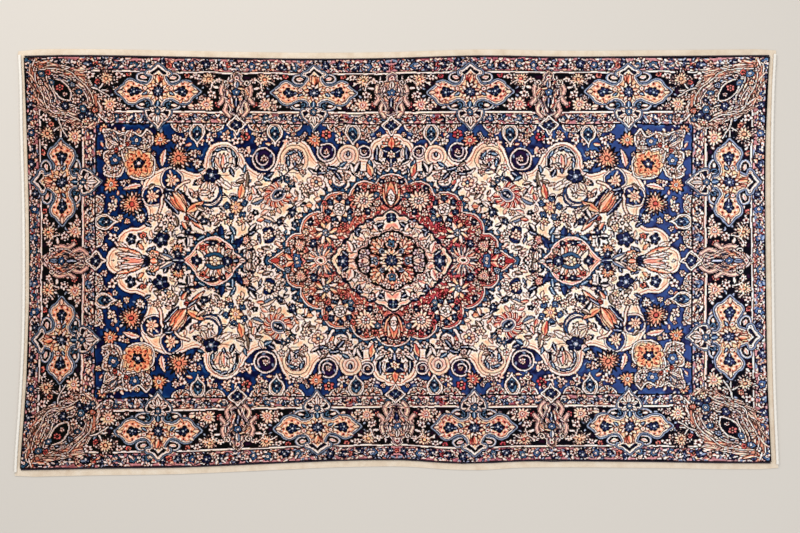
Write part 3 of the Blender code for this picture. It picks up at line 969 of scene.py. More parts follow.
def draw_lobes(chart):
    """What fills the three ivory lobes and the arch over the middle."""
    for u, v, radius, rings in LOBES:
        where, x, y = chart.local((u, v), radius + 3)
        r = np.hypot(x, y)
        for k, (outer, inner) in enumerate(LOBE_RINGS[:rings]):
            chart.nest(where, r - radius + LOBE_STEP * k,
                       ((0.3, BROWN), (-0.2, outer), (-1.9, SALMON), (-2.4, inner)))
        core = radius - LOBE_STEP * rings
        for k in range(10):
            turn = -120 + 26.7 * k
            if rings == 1 or (rings == 2 and k % 3):
                chart.leaf(("split", "navy", "teal")[k % 3], Place(u, v, turn)(0, core - 0.6), turn + 78,
                           6.6, 3.2, 0.2)
        if rings == 1:
            for turn in (-36, 36, -14, 14, 0):
                chart.leaf(("blush", "ivory", "bronze")[abs(turn) // 14 % 3], (u, v - 9), turn, 16, 5.4)
        else:
            chart.rosette((u, v), core * 0.66, (CREAM, PINK)[rings - 2], SALMON, NAVY, 7, 0, BROWN)
        chart.leaf("navy", (u, v - core), 0, 5, 3.4)
    for turn in (-64, -42, -21, 21, 42, 64, 0):
        chart.leaf(("gold", "ember")[turn % 2], (0, 110), turn, 13.5 - abs(turn) * 0.03, 5.4)
    for turn in (-58, 58, 180):
        chart.leaf("navy", (0, 105.4), turn, 12, 10.4)
    chart.flower("gold", (0, 106), 4)
    chart.leaves((("navy", 14.8, 100.4, 4, 14, 5.6, -0.12), ("ivory", 10.4, 102, 2, 11, 3.6)))
    chart.flowers((("gold", 8, 94.6, 4), ("pink", 4, 96.4, 2.6)))


def draw_ivory_flowers(chart):
    """The sprays on the ivory ground: stems, leaves, crescents, a fringed palmette and blossoms."""
    for k, points in enumerate(STEMS):
        chart.vine(points, ("navy", "split", "olive", "teal"), 5.6, 6, 40 + k, 1.1, BROWN)
    draw_crescent(chart, (181.4, 65.6), 12.4, 28, "cream")
    draw_crescent(chart, (53.6, 79), 8.6, 330, "peach")
    chart.leaves(IVORY_LEAVES, 1.06)
    draw_fringed_palmette(chart, (113.4, 65.6), 122, 14.4)
    ring, rose = (155.6, 53), (75, 78.4)
    for k in range(5):
        chart.rosette(Place(*ring, 72 * k + 8)(0, 9.6), 3.1, BLUE, TEAL, SKY, 4, 72 * k)
    chart.rays(ring, 6, GOLD, PINK, RUST, 8, 0, BROWN)
    for radius, petal in ((8.6, PINK), (5.4, SALMON)):
        chart.rosette(rose, radius, petal, TEAL, SKY, 6, 10, BROWN)
    where, x, y = chart.local((123.4, 25.6), 12, 100)
    shoe = np.maximum(np.abs(np.hypot(x, y) - 6.4) - 1.5, y - 3.4)
    chart.nest(where, shoe, ((0.5, INK), (0, FIELD), (-1, NAVY)))
    chart.flowers((("peach", 122.6, 26.2, 4.4), ("pink", 114.6, 28.6, 3.4)))
    for turn in range(200, 424, 28):
        chart.leaf("cream", Place(124, 25, turn)(0, 9.6), turn, 4.4, 2.4)
    chart.flowers((("teal", 109.4, 82.6, 2.6), ("teal", 104.6, 80, 2.6), ("teal", 99.6, 76.6, 2.6)))
    chart.flowers(IVORY_FLOWERS, 17)
    chart.flowers((("ray", 212.6, 11.4, 5.4), ("navy", 212.6, 6.4, 3.8)))
    kinds = ("ivory", "petal", "olive", "navy", "ember", "bronze", "split", "petal")
    chart.sprinkle(IVORY, (282, 120), 460, kinds, 50, 1.5)


# ---------------------------------------------------------------- the medallion


def scallops(circles, tail):
    """Outline of a row of overlapping discs (u, v, radius), then on through the tail's points."""
    meets = []
    for (x0, y0, r0), (x1, y1, r1) in zip(circles, circles[1:]):
        gap = math.hypot(x1 - x0, y1 - y0)
        way = np.array((x1 - x0, y1 - y0)) / gap
        reach = (r0**2 - r1**2 + gap**2) / (2 * gap)
        rise = math.sqrt(max(r0**2 - reach**2, 0))
        both = [np.array((x0, y0)) + way * reach + np.array((-way[1], way[0])) * rise * hand
                for hand in (1, -1)]
        meets.append(max(both, key=np.linalg.norm))
    starts = [np.array((circles[0][0], circles[0][1] + circles[0][2])), *meets]
    ends = [*meets, np.array(tail[0])]
    points = []
    for (x, y, r), start, end in zip(circles, starts, ends):
        first = math.atan2(start[0] - x, start[1] - y)
        last = math.atan2(end[0] - x, end[1] - y)
        turn = (last - first) % (2 * math.pi)
        for k in range(12):
            angle = first + turn * k / 12
            points.append((x + r * math.sin(angle), y + r * math.cos(angle)))
    return np.vstack([points, tail])


def feather(chart, where, gap, along, pitch, long):
    """A leafy blue edge: teeth that point outward all along an outline."""
    tooth = np.abs((along / pitch) % 1 - 0.5) * 2
    chart.lay(where, gap - 2.4 - long * tooth**1.5, INK)
    chart.lay(where, gap - 1.9 - long * tooth**1.5, NAVY)
    chart.lay(where, gap - 1.6 - long * 0.7 * tooth**2, TEAL)


MEDALLION = (  # the lobes of its edge: (u, v, radius)
    (0, 69.4, 17.4), (27, 64, 15), (52.6, 51.6, 17), (73.4, 30.6, 17.4), (93, 15.4, 11.6),
)
MEDALLION_FLOWERS = (  # (kind, u, v, radius)
    ("star", 91, 15.4, 5.6), ("slate", 103.6, 9.6, 3), ("navy", 77.6, 17.4, 3.8), ("rust", 40, 62.4, 2.8),
    ("navy", 34.4, 72, 3), ("rust", 18, 72.4, 3.4), ("teal", 15.4, 65.4, 3), ("rust", 27, 74.4, 2.8),
    ("peach", 14.6, 57, 3.2), ("peach", 33, 47.6, 3.4), ("teal", 41.6, 42.6, 3.2),
    ("rust", 48.6, 35.6, 3.2), ("pink", 56, 36.6, 2.8), ("peach", 70.6, 44, 3.2), ("navy", 81, 38.6, 3),
    ("gold", 85.4, 29, 3.2), ("rust", 63.6, 41.6, 2.8), ("peach", 99, 18, 2.8), ("pink", 55, 18.6, 3),
    ("teal", 61.4, 11, 3), ("blue", 94, 2.4, 4.4), ("gold", 84.6, 4.4, 2.8), ("pink", 78.6, 7.4, 2.4),
    ("rust", 101.6, 3.4, 2.6), ("peach", 83, 22, 2.6), ("rust", 66.6, 57.4, 2.8),
    ("peach", 46.6, 64.6, 2.8), ("navy", 10, 79, 3), ("peach", 3.4, 82, 2.6), ("navy", 23, 49.4, 3),
    ("pink", 17.6, 51, 2.4),
)


def draw_medallion(chart):
    """The red medallion: a feathered and lined edge, shells, a vine and great flowers."""
    line = scallops(MEDALLION, ((103.6, 12.6), (110.6, 8.2), (117, 3.4), (122.4, 0), (122.4, -6)))
    where, gap, along = quarter_outline(chart, np.vstack([[(-6, 86.8)], line]), (100, 60))
    feather(chart, where, gap, along, 6.4, 4.4)
    chart.lay(where, gap, BRICK)
    embers = ("ember", "flame", "petal", "flame", "ember", "rust", "flame", "bronze")
    chart.filigree(where, gap, 3, 1900, embers, 23, 4.4, 1.9, 90)
    # shells along the rim of each lobe
    for u, v, radius in MEDALLION:
        for k in range(int(radius * 0.95)):
            turn = -90 + 180 * k / (radius * 0.95) + math.degrees(math.atan2(u, v))
            foot = Place(u, v, turn)(0, radius - 6.6)
            chart.leaf(("ember", "petal", "bronze")[k % 3], foot, turn + 12, 5.2, 3.2)
    ring = np.abs(gap + 0.9) - 2.2
    chart.nest(where, ring, ((0, INK), (-0.6, PINK)))
    for offset, colour in ((-0.5, BROWN), (-1.1, ORANGE)):
        chart.lay(where, np.maximum(gap - offset, -2.4 - gap), colour)
    chart.vine(((10, 56), (22, 50), (34, 46), (44, 40), (56, 36), (62, 24), (72, 16), (84, 8), (92, 0)),
               ("split", "navy", "gold"), 5, 4.6, 4, 1, INK)
    # gold and pink star, blue-ringed wheel and salmon star, from the end to the middle
    star, wheel, sun, lotus = (65, 27.6), (52.2, 51), (27.6, 60), (70.6, 0)
    for k in range(8):
        chart.leaf("navy", star, 45 * k, 10.6, 2.6)
        chart.leaf(("amber", "petal")[k % 2], star, 45 * k + 22, 11.6, 4.2)
    chart.rosette(star, 3.4, SLATE, IVORY, MAUVE, 6)
    for k in range(7):
        chart.leaf(("ember", "petal")[k % 2], wheel, 51.4 * k + 25.7, 11.4, 5.2)
        chart.rosette(Place(*wheel, 51.4 * k)(0, 11.2), 3.1, NAVY, TEAL, SLATE, 4, 51.4 * k)
    chart.disc(wheel, 6, IVORY, INK)
    chart.rosette(wheel, 4.6, PINK, OLIVE, IVORY, 5)
    chart.disc(sun, 8.6, BROWN)
    chart.flower("star", sun, 10.2)
    chart.rosette(sun, 4, PINK, CRIMSON, IVORY, 7)
    chart.flowers(MEDALLION_FLOWERS, 31)
    # the lotus on the long axis
    for k in range(22):
        chart.leaf(("petal", "slate", "ivory", "ember")[k % 4], lotus, 8 + 16.4 * k, 14.6, 2.4)
    where, x, y = chart.local(lotus, 12)
    r = np.hypot(x / 6.4, y / 4.4)
    for reach, colour in ((1.10, BROWN), (1, CREAM), (0.80, RUST), (0.66, IVORY), (0.36, INK)):
        chart.lay(where, (r - reach) * 5, colour)
    # the gold flame on the short axis
    for kind, turn, length, width in (("navy", 46, 15, 6), ("gold", 26, 20, 7), ("ember", 12, 24, 7)):
        for hand in (-1, 1):
            chart.leaf(kind, (0, 54), hand * turn, length, width)
    chart.leaves((("gold", 0, 54, 0, 25, 9), ("cream", 0, 56, 0, 15, 7)))
    chart.rosette((0, 62.6), 3, PINK, OLIVE, IVORY, 5)
    # the tip
    chart.leaf("flame", (112, 0), 90, 9, 4.4)
    chart.rosette((107.6, 0), 3.6, PINK, INK, RUST, 6)
    chart.leaves((("ember", 98, 0, 50, 10, 4), ("ember", 98, 0, 130, 10, 4)))


LOZENGE = smooth((
    (-6, 51), (0, 51), (4.8, 48.6), (8.3, 44.8), (8.3, 44.8), (13.8, 44.4), (18.6, 41), (18.6, 41),
    (23.6, 40.2), (27, 35.8), (27, 35.8), (31.8, 34.6), (34.4, 29.4), (34.4, 29.4), (39.8, 27.8),
    (42.4, 22.4), (42.4, 22.4), (47.4, 20.2), (49, 15), (49, 15), (53.4, 12.4), (54.8, 7.8), (54.8, 7.8),
    (58, 4), (59.6, 0), (59.6, -6),
))
ROUNDEL = smooth((
    (-5, 28.6), (0, 29.8), (5, 28.6), (9.6, 26.4), (11.4, 23.4), (11.4, 23.4), (16, 23.6), (20, 21.6),
    (22.6, 18), (23.6, 13.4), (23.6, 13.4), (28.6, 12.4), (32, 9), (32.6, 4.6), (35.4, 0), (32.6, -4.6),
))
CENTRE_LEAVES = (  # (kind, u, v, turn, length, width)
    ("petal", 45, 0, -56, 13.6, 9), ("petal", 45, 0, 236, 13.6, 9), ("petal", 0, 42.6, 146, 13.6, 8.6),
    ("navy", 41, 20, 120, 10, 5.6), ("navy", 49, 10.6, 230, 8, 4.6), ("navy", 17, 39, 84, 8, 4.6),
    ("navy", 8.4, 37.4, 120, 8, 5), ("navy", 30, 31.6, 110, 8, 4.6), ("blush", 39.6, 8, 20, 13, 7.6),
    ("blush", 26, 21, 64, 14, 7.6), ("blush", 13.4, 29.6, 52, 13, 7), ("navy", 33, 24, 20, 6, 3.6),
    ("navy", 20.6, 31.6, 340, 6, 3.4),
)
# Great flowers on the roundel's axes: (heading, how far out, half the space between its side blossoms, their
# petals, its leaves, petals of the blossom at its foot).
ROUNDEL_FLOWERS = ((90, 28.6, 8.2, LILAC, "bronze", SLATE), (0, 24.6, 6.2, SALMON, "coral", TEAL))
ROUNDEL_RIM = (  # (u, v, petals) of the small blossoms just inside its edge
    (30, 4.4, LILAC), (28.6, 9.4, SALMON), (20.4, 18.6, PINK), (12.6, 21.4, LILAC), (4.2, 26, PINK),
)


def draw_centre(chart):
    """The stepped ivory lozenge inside the medallion, and the dark roundel at the rug's middle."""
    where, gap, _ = quarter_outline(chart, LOZENGE, (46, 40))
    chart.lay(where, gap - 1.6, IVORY)
    chart.filigree(where, gap, 4.6, 170, ("ivory", "petal", "rose", "split"), 25, 5.6, 2.6, 80)
    for offset, colour in ((1.6, NAVY), (0, INK), (-0.4, CREAM), (-1.3, SALMON), (-2.9, CREAM)):
        chart.lay(where, np.maximum(gap - offset, -3.8 - gap), colour)
    chart.lay(where, np.abs(gap + 4) - 0.3, BROWN)
    chart.leaves(CENTRE_LEAVES)
    chart.flowers((("white", 31.6, 17.6, 3.4), ("white", 21, 36, 3), ("pink", 46.6, 14.6, 2.8)),
                  10, line=BROWN)
    chart.rosette((0, 44), 5, NAVY, TEAL, IVORY, 4, 45)
    chart.rosette((47.4, 0), 6.4, NAVY, SLATE, IVORY, 6)
    # the dark roundel of great flowers
    where, gap, _ = quarter_outline(chart, ROUNDEL, (20, 18))
    chart.nest(where, gap, ((2.4, BROWN), (2, PINK), (1.5, INK)))
    for turn, far, apart, petal, leaf, bud in ROUNDEL_FLOWERS:
        spot = Place(0, 0, turn)
        for half in spot.halves():
            chart.leaf("ember", half(1, 12), half.head(26), 10, 4.4)
            chart.rosette(half(apart, far - 2.6), 4.2, petal, PINK, RUST, 5, 30)
        for fan in (-40, 40, 0):
            chart.leaf(leaf, spot(0, far - 6.2), spot.head(fan), 10.0 - abs(fan) * 0.07, 4.7)
        chart.rosette(spot(0, 17), 3.8, bud, INK, CREAM, 5, 45)
        chart.disc(spot(0, far), 1.2, CRIMSON)
    for u, v, petal in ROUNDEL_RIM:
        chart.rosette((u, v), 2.5, petal, BROWN, CREAM, 5, 9 * u)
    spot = Place(0, 0, 45)
    chart.rosette(spot(0, 20.8), 7.6, ORANGE, SALMON, CREAM, 11)
    for fan in (-84, 84, -44, 44, 0):
        chart.leaf("coral", spot(0, 18.4), spot.head(fan), 9.4 - abs(fan) * 0.02, 4.5)
    chart.leaf("gilt", spot(0, 16.4), spot.head(0), 6, 3.2)
    chart.rosette(spot(0, 13.4), 2.7, SLATE, INK, SKY, 5)
    for k in range(8):
        for tilt in (-11, 11):
            chart.leaf("gilt", (0, 0), 45 * k + tilt, 12.2, 4.8)
    chart.rosette((0, 0), 5.8, NAVY, TEAL, ORANGE, 8)


SIDE_PENDANT = mirrored((
    (-31, 0), (-25, 4.2), (-20, 8), (-17, 14), (-11, 19.6), (-3, 23.6), (4, 23.8), (11, 20.6), (17, 15.6),
    (21, 9.6), (26, 4), (31, 0),
), flip=(1, -1))
TULIP_LEAVES = (  # (kind, u, v, turn, length, width) of the tulip and trefoil beyond it
    ("slate", 215.6, 0, 90, 17.4, 4.6), ("olive", 215.6, 0, 76, 17.4, 4.6),
    ("olive", 215.6, 0, 104, 17.4, 4.6), ("slate", 215.6, 0, 64, 17.4, 4.6),
    ("slate", 215.6, 0, 116, 17.4, 4.6), ("navy", 206, 0, 90, 12, 6), ("orange", 233, 0, 90, 8, 5),
    ("navy", 241.6, 0, 52, 9.6, 4.4), ("navy", 241.6, 0, 90, 9.6, 4.4), ("navy", 241.6, 0, 128, 9.6, 4.4),
)


def draw_side_pendant(chart):
    """The pendant on the long axis, and the motifs that link it to the medallion and to the end."""
    at = (176.2, 0)
    where, x, y = chart.local(at, 42)
    gap, along = distance_to(x, y, SIDE_PENDANT)
    chart.leaves((("deep", 159, 11, -44, 17, 8, 0.1, 5), ("deep", 170, 20, -6, 15, 7, 0.1, 5),
                  ("deep", 186, 19, 46, 13, 6.4, 0.1, 5)))
    feather(chart, where, gap, along, 6.6, 4)
    chart.nest(where, gap, ((1.2, INK), (0.6, PINK), (-0.8, RUST), (-1.2, SALMON), (-3, BROWN),
                           (-3.4, PINK), (-4.2, RUST), (-6.4, INK), (-6.8, SALMON)))
    chart.leaf("navy", (173, 18.6), 88, 14, 3.4)
    for k in range(-4, 5):
        for turn in (9 * k, 180 - 9 * k):
            chart.leaf(("ivory", "cream", "gold")[k % 3], (at[0] + 2.4 * k, 0), turn,
                       15.6 - 0.5 * abs(k), 4.2)
    where, x, y = chart.local(at, 20)
    ring = np.abs(np.hypot(x / 9, y / 7) - 1) * 7 - 1.5
    ring = np.maximum(ring, 3.4 - np.abs(y))
    chart.nest(where, ring, ((0.5, INK), (0, TEAL)))
    chart.rosette(at, 5.2, GOLD, IVORY, BROWN, 6)
    chart.flowers((("navy", 17.4, 0, 4.6), ("navy", -12.6, 0, 5), ("navy", 2, 17.8, 3),
                   ("navy", -8, 17, 2.6), ("rust", 12, 13, 2.8), ("gold", -14.4, 9.4, 2.6),
                   ("gold", -20, 3.4, 2.2)), axes=Place(*at))
    chart.leaves((("navy", 158, 0, 270, 8, 5), ("olive", 151.6, 0, 270, 7, 4)))
    for k in range(9):
        chart.leaf(("ivory", "olive")[k % 2], (141.4, 0), 170 + 25 * k, 9.4, 4)
    chart.disc((140.6, 0), 1.8, OLIVE, INK)
    chart.flower("pink", (134.6, 0), 3.4)
    # tulip and trefoil towards the end, with long serrated leaves
    chart.leaves(TULIP_LEAVES)
    for hand in (-1, 1):
        chart.leaf("ivory", (250, hand * 2), 90 - hand * 18, 25, 6.4, hand * 0.12, 9)
        chart.leaf("blush", (247, hand), 90 - hand * 4, 22, 4)
        chart.leaf("teal", (186, hand * 25), 30 * hand + 90, 9, 4)


def paint_quarter(columns, rows):
    """The dyes of one quarter of the rug, as sRGB, in rows outward from the middle."""
    chart = Chart(columns, rows, EDGE_U, EDGE_V)
    chart.dyes[:] = FIELD
    draw_bands(chart, BORDER_BANDS)
    draw_guards(chart)
    draw_ivory_ground(chart)
    draw_blue_band(chart)
    draw_spandrel(chart)
    draw_edge_pendants(chart)
    draw_lobes(chart)
    draw_ivory_flowers(chart)
    draw_medallion(chart)
    draw_centre(chart)
    draw_side_pendant(chart)
    draw_main_border(chart)
    for plain, other, spacing in MOTTLES:
        chart.mottle(plain, other, spacing)
    return chart.dyes


# ---------------------------------------------------------------- the chart as knots of dyed wool

KNOT_COLUMNS = 880
KNOT_ROWS = 480
SHARPNESS = 1.45  # how much each knot stands out from those round it, as in crisp short wool
RICHNESS = 1.04  # how strong the colours are against the chart's
BLOOM = (0.045, 0.046, 0.112)  # what the blue wool has gained by fading at the right-hand end
DEPTH = 0.22  # how much deeper the dark wool still is at the left-hand end
ABRASH = (0.05, 0.10)  # how far the dye varies, in bands across the rug and in patches
GRAIN = 0.09  # how far it varies from knot to knot
DARKEST = 0.002  # the least that any knot gives back of a colour
FADE_AND_PAINTED_LIGHT = (  # (share of the length, red, green, blue): how the light and use have faded the wool, and painted light as well: painted shade makes the wool darker and warmer at the left end, and painted light makes it brighter at the right
    (0.00, 0.76, 0.60, 0.57),
    (0.12, 0.90, 0.74, 0.70),
    (0.30, 0.94, 0.79, 0.75),
    (0.60, 0.95, 0.81, 0.78),
    (0.80, 1.03, 0.92, 0.90),
    (1.00, 1.22, 1.08, 1.07),
)
MADDER = (  # (share of the length, red, green, blue): how the reds turn from orange to crimson
    (0.48, 1.00, 0.92, 1.00),
    (0.54, 0.76, 0.40, 0.66),
    (0.70, 0.76, 0.36, 0.60),
    (0.77, 0.94, 0.84, 0.96),
    (1.00, 0.98, 0.92, 1.00),
)


def uneven(rng, rows, columns, spacing):
    """Smooth noise between about -1 and 1, its humps a spacing apart."""
    out = rng.uniform(-1, 1, (rows // spacing + 3, columns // spacing + 3))
    for count in (rows, columns):
        place = np.arange(count) / spacing
        first = place.astype(int)
        share = (place - first)[:, None]
        share = share * share * (3 - 2 * share)
        out = (out[first] * (1 - share) + out[first + 1] * share).T
    return out


def hand_drawn(quarter, rng):
    """The quarter's chart with lines that waver a little, as a weaver's do."""
    rows, columns = quarter.shape[:2]
    row, column = np.mgrid[0:rows, 0:columns].astype(float)
    for spacing, reach in ((9, 1.0), (40, 1.6)):
        row += reach * uneven(rng, rows, columns, spacing)
        column += reach * uneven(rng, rows, columns, spacing)
    row = np.clip(np.rint(row), 0, rows - 1).astype(int)
    column = np.clip(np.rint(column), 0, columns - 1).astype(int)
    return quarter[row, column]


def blurred(image):
    """The image softened each way by two rounds of a small bell-shaped filter."""
    for axis in (0, 1):
        for _ in range(2):
            padded = np.pad(image, [(2, 2) if k == axis else (0, 0) for k in range(3)], mode="edge")
            parts = [np.take(padded, range(k, k + image.shape[axis]), axis) for k in range(5)]
            image = (parts[0] + 4 * parts[1] + 6 * parts[2] + 4 * parts[3] + parts[4]) / 16
    return image


def table_at(table, place):
    """A table's columns, after its first, at each place along its first."""
    rows = np.array(table)
    return np.stack([np.interp(place, rows[:, 0], rows[:, k]) for k in range(1, rows.shape[1])], -1)


def knot_dyes():
    """Linear colour of every knot, row by row from the near side: one quarter's chart, mirrored."""
    rng = np.random.default_rng(64)
    half_rows, half_columns = KNOT_ROWS // 2, KNOT_COLUMNS // 2
    quarter = paint_quarter(half_columns * 2, half_rows * 2)
    corners = []
    for _ in range(4):
        drawn = hand_drawn(quarter, rng)
        corners.append(drawn.reshape(half_rows, 2, half_columns, 2, 3).mean((1, 3)))
    near = np.concatenate([corners[0][::-1, ::-1], corners[1][::-1]], axis=1)
    far = np.concatenate([corners[2][:, ::-1], corners[3]], axis=1)
    dyes = np.concatenate([near, far], axis=0)
    light = dyes.mean(2, keepdims=True)
    dyes = light + RICHNESS * (dyes - light) + SHARPNESS * (light - blurred(light))
    dyes = np.clip(dyes, 0, 1) ** 2.2

    share = (np.arange(KNOT_COLUMNS) + 0.5) / KNOT_COLUMNS
    dyes **= 1 + DEPTH * np.clip(1 - 2 * share, 0, 1)[:, None]
    red = np.clip(4 - 4 * dyes[..., 1:2] / (dyes[..., :1] + 0.01) - 1.4, 0, 1)
    dyes *= 1 + red * (table_at(MADDER, share)[None] - 1)
    abrash = 1 + ABRASH[0] * uneven(rng, 4, KNOT_COLUMNS, 24)[1]
    abrash = abrash + ABRASH[1] * uneven(rng, KNOT_ROWS, KNOT_COLUMNS, 30)
    grain = rng.normal(1.0, GRAIN, (KNOT_ROWS, KNOT_COLUMNS))
    # the fade table here is partly real fading and partly painted light: darker and warmer at the left end,
    # brighter at the right
    dyes *= table_at(FADE_AND_PAINTED_LIGHT, share)[None] * (abrash * grain)[..., None]
    blue = np.clip(9 * (dyes[..., 2:] - dyes[..., :1]) + 0.06, 0, 1)
    dyes += blue * (share[:, None] ** 2 * BLOOM)[None]
    return np.clip(dyes, DARKEST, 1.0)


# ---------------------------------------------------------------- the rug's outline and its distortion

SQUARE = 0.003  # one chart square
PILE_STRIPS = 5
FITTING_ROUNDS = 4  # how often the lengthwise and the crosswise lines are fitted to each other
SIDE_BOW = 0.03  # the most that a side bows from a straight line
CORNER_ROUND = 0.012  # how much of a side is left out at each of its rounded corners

# Where the handmade rug's lines really lie: (chart place across, metres from the middle).
FIELD_EDGE_LEFT = ((-135, -0.9054), (0, -0.9030), (76, -0.8994), (135, -0.9009))
LENGTH_MIDDLE = ((-170, 0.0015), (0, -0.0156), (170, -0.0150))
FIELD_EDGE_RIGHT = ((-135, 0.8844), (135, 0.8844))
FIELD_EDGE_NEAR = ((-295, -0.4050), (0, -0.3948), (295, -0.3903))
WIDTH_MIDDLE = ((-295, 0.0069), (295, 0.0069))
FIELD_EDGE_FAR = ((-295, 0.4176), (0, 0.4140), (295, 0.4155))


def across(table, place):
    """How far out a line lies at a place across it."""
    return np.interp(place, [row[0] for row in table], [row[1] for row in table])


def outline_sides(node):
    """The four edges of a slab's foot, each a list of points that np.interp can follow."""
    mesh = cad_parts[node].data
    points = np.empty(len(mesh.vertices) * 3)
    mesh.vertices.foreach_get("co", points)
    points = points.reshape(-1, 3)
    ring = points[points[:, 2] < points[:, 2].min() + 1e-4, :2]
    corner = {way: ring[np.argmax(ring @ way)] for way in ((-1, -1), (1, -1), (1, 1), (-1, 1))}

    def side(start, end, axis):
        a, b = corner[start], corner[end]
        long = np.linalg.norm(b - a)
        way = (b - a) / long
        run = (ring - a) @ way
        off = np.abs((ring - a) @ (-way[1], way[0]))
        between = ring[(off < SIDE_BOW) & (run > CORNER_ROUND) & (run < long - CORNER_ROUND)]
        edge = np.vstack([[a], between, [b]])
        return edge[np.argsort(edge[:, axis])]

    return {
        "near": side((-1, -1), (1, -1), 0),
        "far": side((-1, 1), (1, 1), 0),
        "left": side((-1, -1), (-1, 1), 1),
        "right": side((1, -1), (1, 1), 1),
    }


def ends_at(sides, y):
    """The x of the left and of the right side at each y."""
    return [np.interp(y, *sides[name].T[::-1]) for name in ("left", "right")]


def edges_at(sides, x):
    """The y of the near and of the far side at each x."""
    return [np.interp(x, *sides[name].T) for name in ("near", "far")]


def piecewise(place, stops, values):
    """Linear between stops, where each stop's value is an array as large as place."""
    out = np.zeros(place.shape)
    for (a, b), (low, high) in zip(zip(stops, stops[1:]), zip(values, values[1:])):
        share = (place - a) / (b - a)
        out = np.where((place >= a) & (place <= b), low + (high - low) * share, out)
    return out


def lay_out(u, v, sides):
    """World x and y of chart places u along the rug and v across it."""
    u, v = np.broadcast_arrays(u, v)
    x, y = u * SQUARE, v * SQUARE
    for _ in range(FITTING_ROUNDS):
        left, right = ends_at(sides, y)
        x = piecewise(u, (-EDGE_U, -FIELD_U, 0, FIELD_U, EDGE_U),
                      (left, across(FIELD_EDGE_LEFT, v), across(LENGTH_MIDDLE, v),
                       across(FIELD_EDGE_RIGHT, v), right))
        near, far = edges_at(sides, x)
        y = piecewise(v, (-EDGE_V, -FIELD_V, 0, FIELD_V, EDGE_V),
                      (near, across(FIELD_EDGE_NEAR, u), across(WIDTH_MIDDLE, u),
                       across(FIELD_EDGE_FAR, u), far))
    return x, y


# ---------------------------------------------------------------- node materials


def node_material(name, **settings):
    """A material with its shader set, and functions that add linked nodes and feed the shader."""
    material = bpy.data.materials.new(name)
    material.use_nodes = True
    tree = material.node_tree
    shader = tree.nodes["Principled BSDF"]
    for key, value in settings.items():
        shader.inputs[key.replace("_", " ")].default_value = value

    def add(kind, links=(), **settings):
        node = tree.nodes.new("ShaderNode" + kind)
        for key, value in settings.items():
            if key in node.bl_rna.properties:
                setattr(node, key, value)
            else:
                node.inputs[key.replace("_", " ")].default_value = value
        for socket, source in dict(links).items():
            tree.links.new(source, node.inputs[socket])
        return node

    def feed(**sources):
        for key, source in sources.items():
            tree.links.new(source, shader.inputs[key.replace("_", " ")])

    return material, add, feed


def ramp(node, *stops):
    """Sets a colour ramp's stops, each given as (place, colour)."""
    elements = node.color_ramp.elements
    while len(elements) < len(stops):
        elements.new(0.5)
    for element, (place, colour) in zip(elements, stops):
        element.position = place
        element.color = (*colour, 1.0)


def multiply(add, a, b):
    """The socket of two colour sockets multiplied."""
    mix = add("Mix", data_type="RGBA", blend_type="MULTIPLY")
    tree = mix.id_data
    mix.inputs[0].default_value = 1.0
    tree.links.new(a, mix.inputs[6])
    tree.links.new(b, mix.inputs[7])
    return mix.outputs[2]


def wool_pile_material():
    """Each knot's dye from its own attribute, mottled, with the knots and the brushed pile as bump."""
    material, add, feed = node_material("knotted_wool", Specular_IOR_Level=0.04, Sheen_Weight=0.01,
                                        Sheen_Roughness=0.5)
    dye = add("Attribute", attribute_name="dye")
    place = add("TexCoord").outputs["Object"]
    mottle = add("TexNoise", {"Vector": place}, Scale=420.0, Detail=3.0, Roughness=0.7)
    shade = add("ValToRGB", {"Fac": mottle.outputs["Fac"]})
    ramp(shade, (0.3, (0.80, 0.80, 0.81)), (0.7, (1.12, 1.11, 1.10)))
    wear = add("TexNoise", {"Vector": place}, Scale=3.2, Detail=4.0, Roughness=0.6)
    worn = add("ValToRGB", {"Fac": wear.outputs["Fac"]})
    ramp(worn, (0.3, (0.93, 0.92, 0.92)), (0.7, (1.06, 1.06, 1.07)))
    colour = multiply(add, dye.outputs["Color"], shade.outputs["Color"])
    colour = multiply(add, colour, worn.outputs["Color"])
    tufts = add("TexVoronoi", {"Vector": place}, Scale=520.0)
    lean = add("TexNoise", {"Vector": place}, Scale=60.0, Detail=5.0, Roughness=0.65)
    bump = add("Bump", {"Height": tufts.outputs["Distance"]}, Strength=0.45, Distance=0.0012)
    soft = add("Bump", {"Height": lean.outputs["Fac"], "Normal": bump.outputs["Normal"]},
               Strength=0.30, Distance=0.0020)
    rough = add("MapRange", {"Value": mottle.outputs["Fac"]}, To_Min=0.82, To_Max=1.0)
    feed(Base_Color=colour, Normal=soft.outputs["Normal"], Roughness=rough.outputs["Result"])
    return material


def thread_material(name, dark, light, scale, rough):
    """Spun thread: fibres along the cord, with dark and light plies."""
    material, add, feed = node_material(name, Roughness=rough, Specular_IOR_Level=0.25, Sheen_Weight=0.1)
    place = add("TexCoord").outputs["Object"]
    fibres = add("TexNoise", {"Vector": place}, Scale=scale, Detail=4.0, Roughness=0.7)
    shade = add("ValToRGB", {"Fac": fibres.outputs["Fac"]})
    ramp(shade, (0.3, dark), (0.72, light))
    bump = add("Bump", {"Height": fibres.outputs["Fac"]}, Strength=0.5, Distance=0.0006)
    feed(Base_Color=shade.outputs["Color"], Normal=bump.outputs["Normal"])
    return material


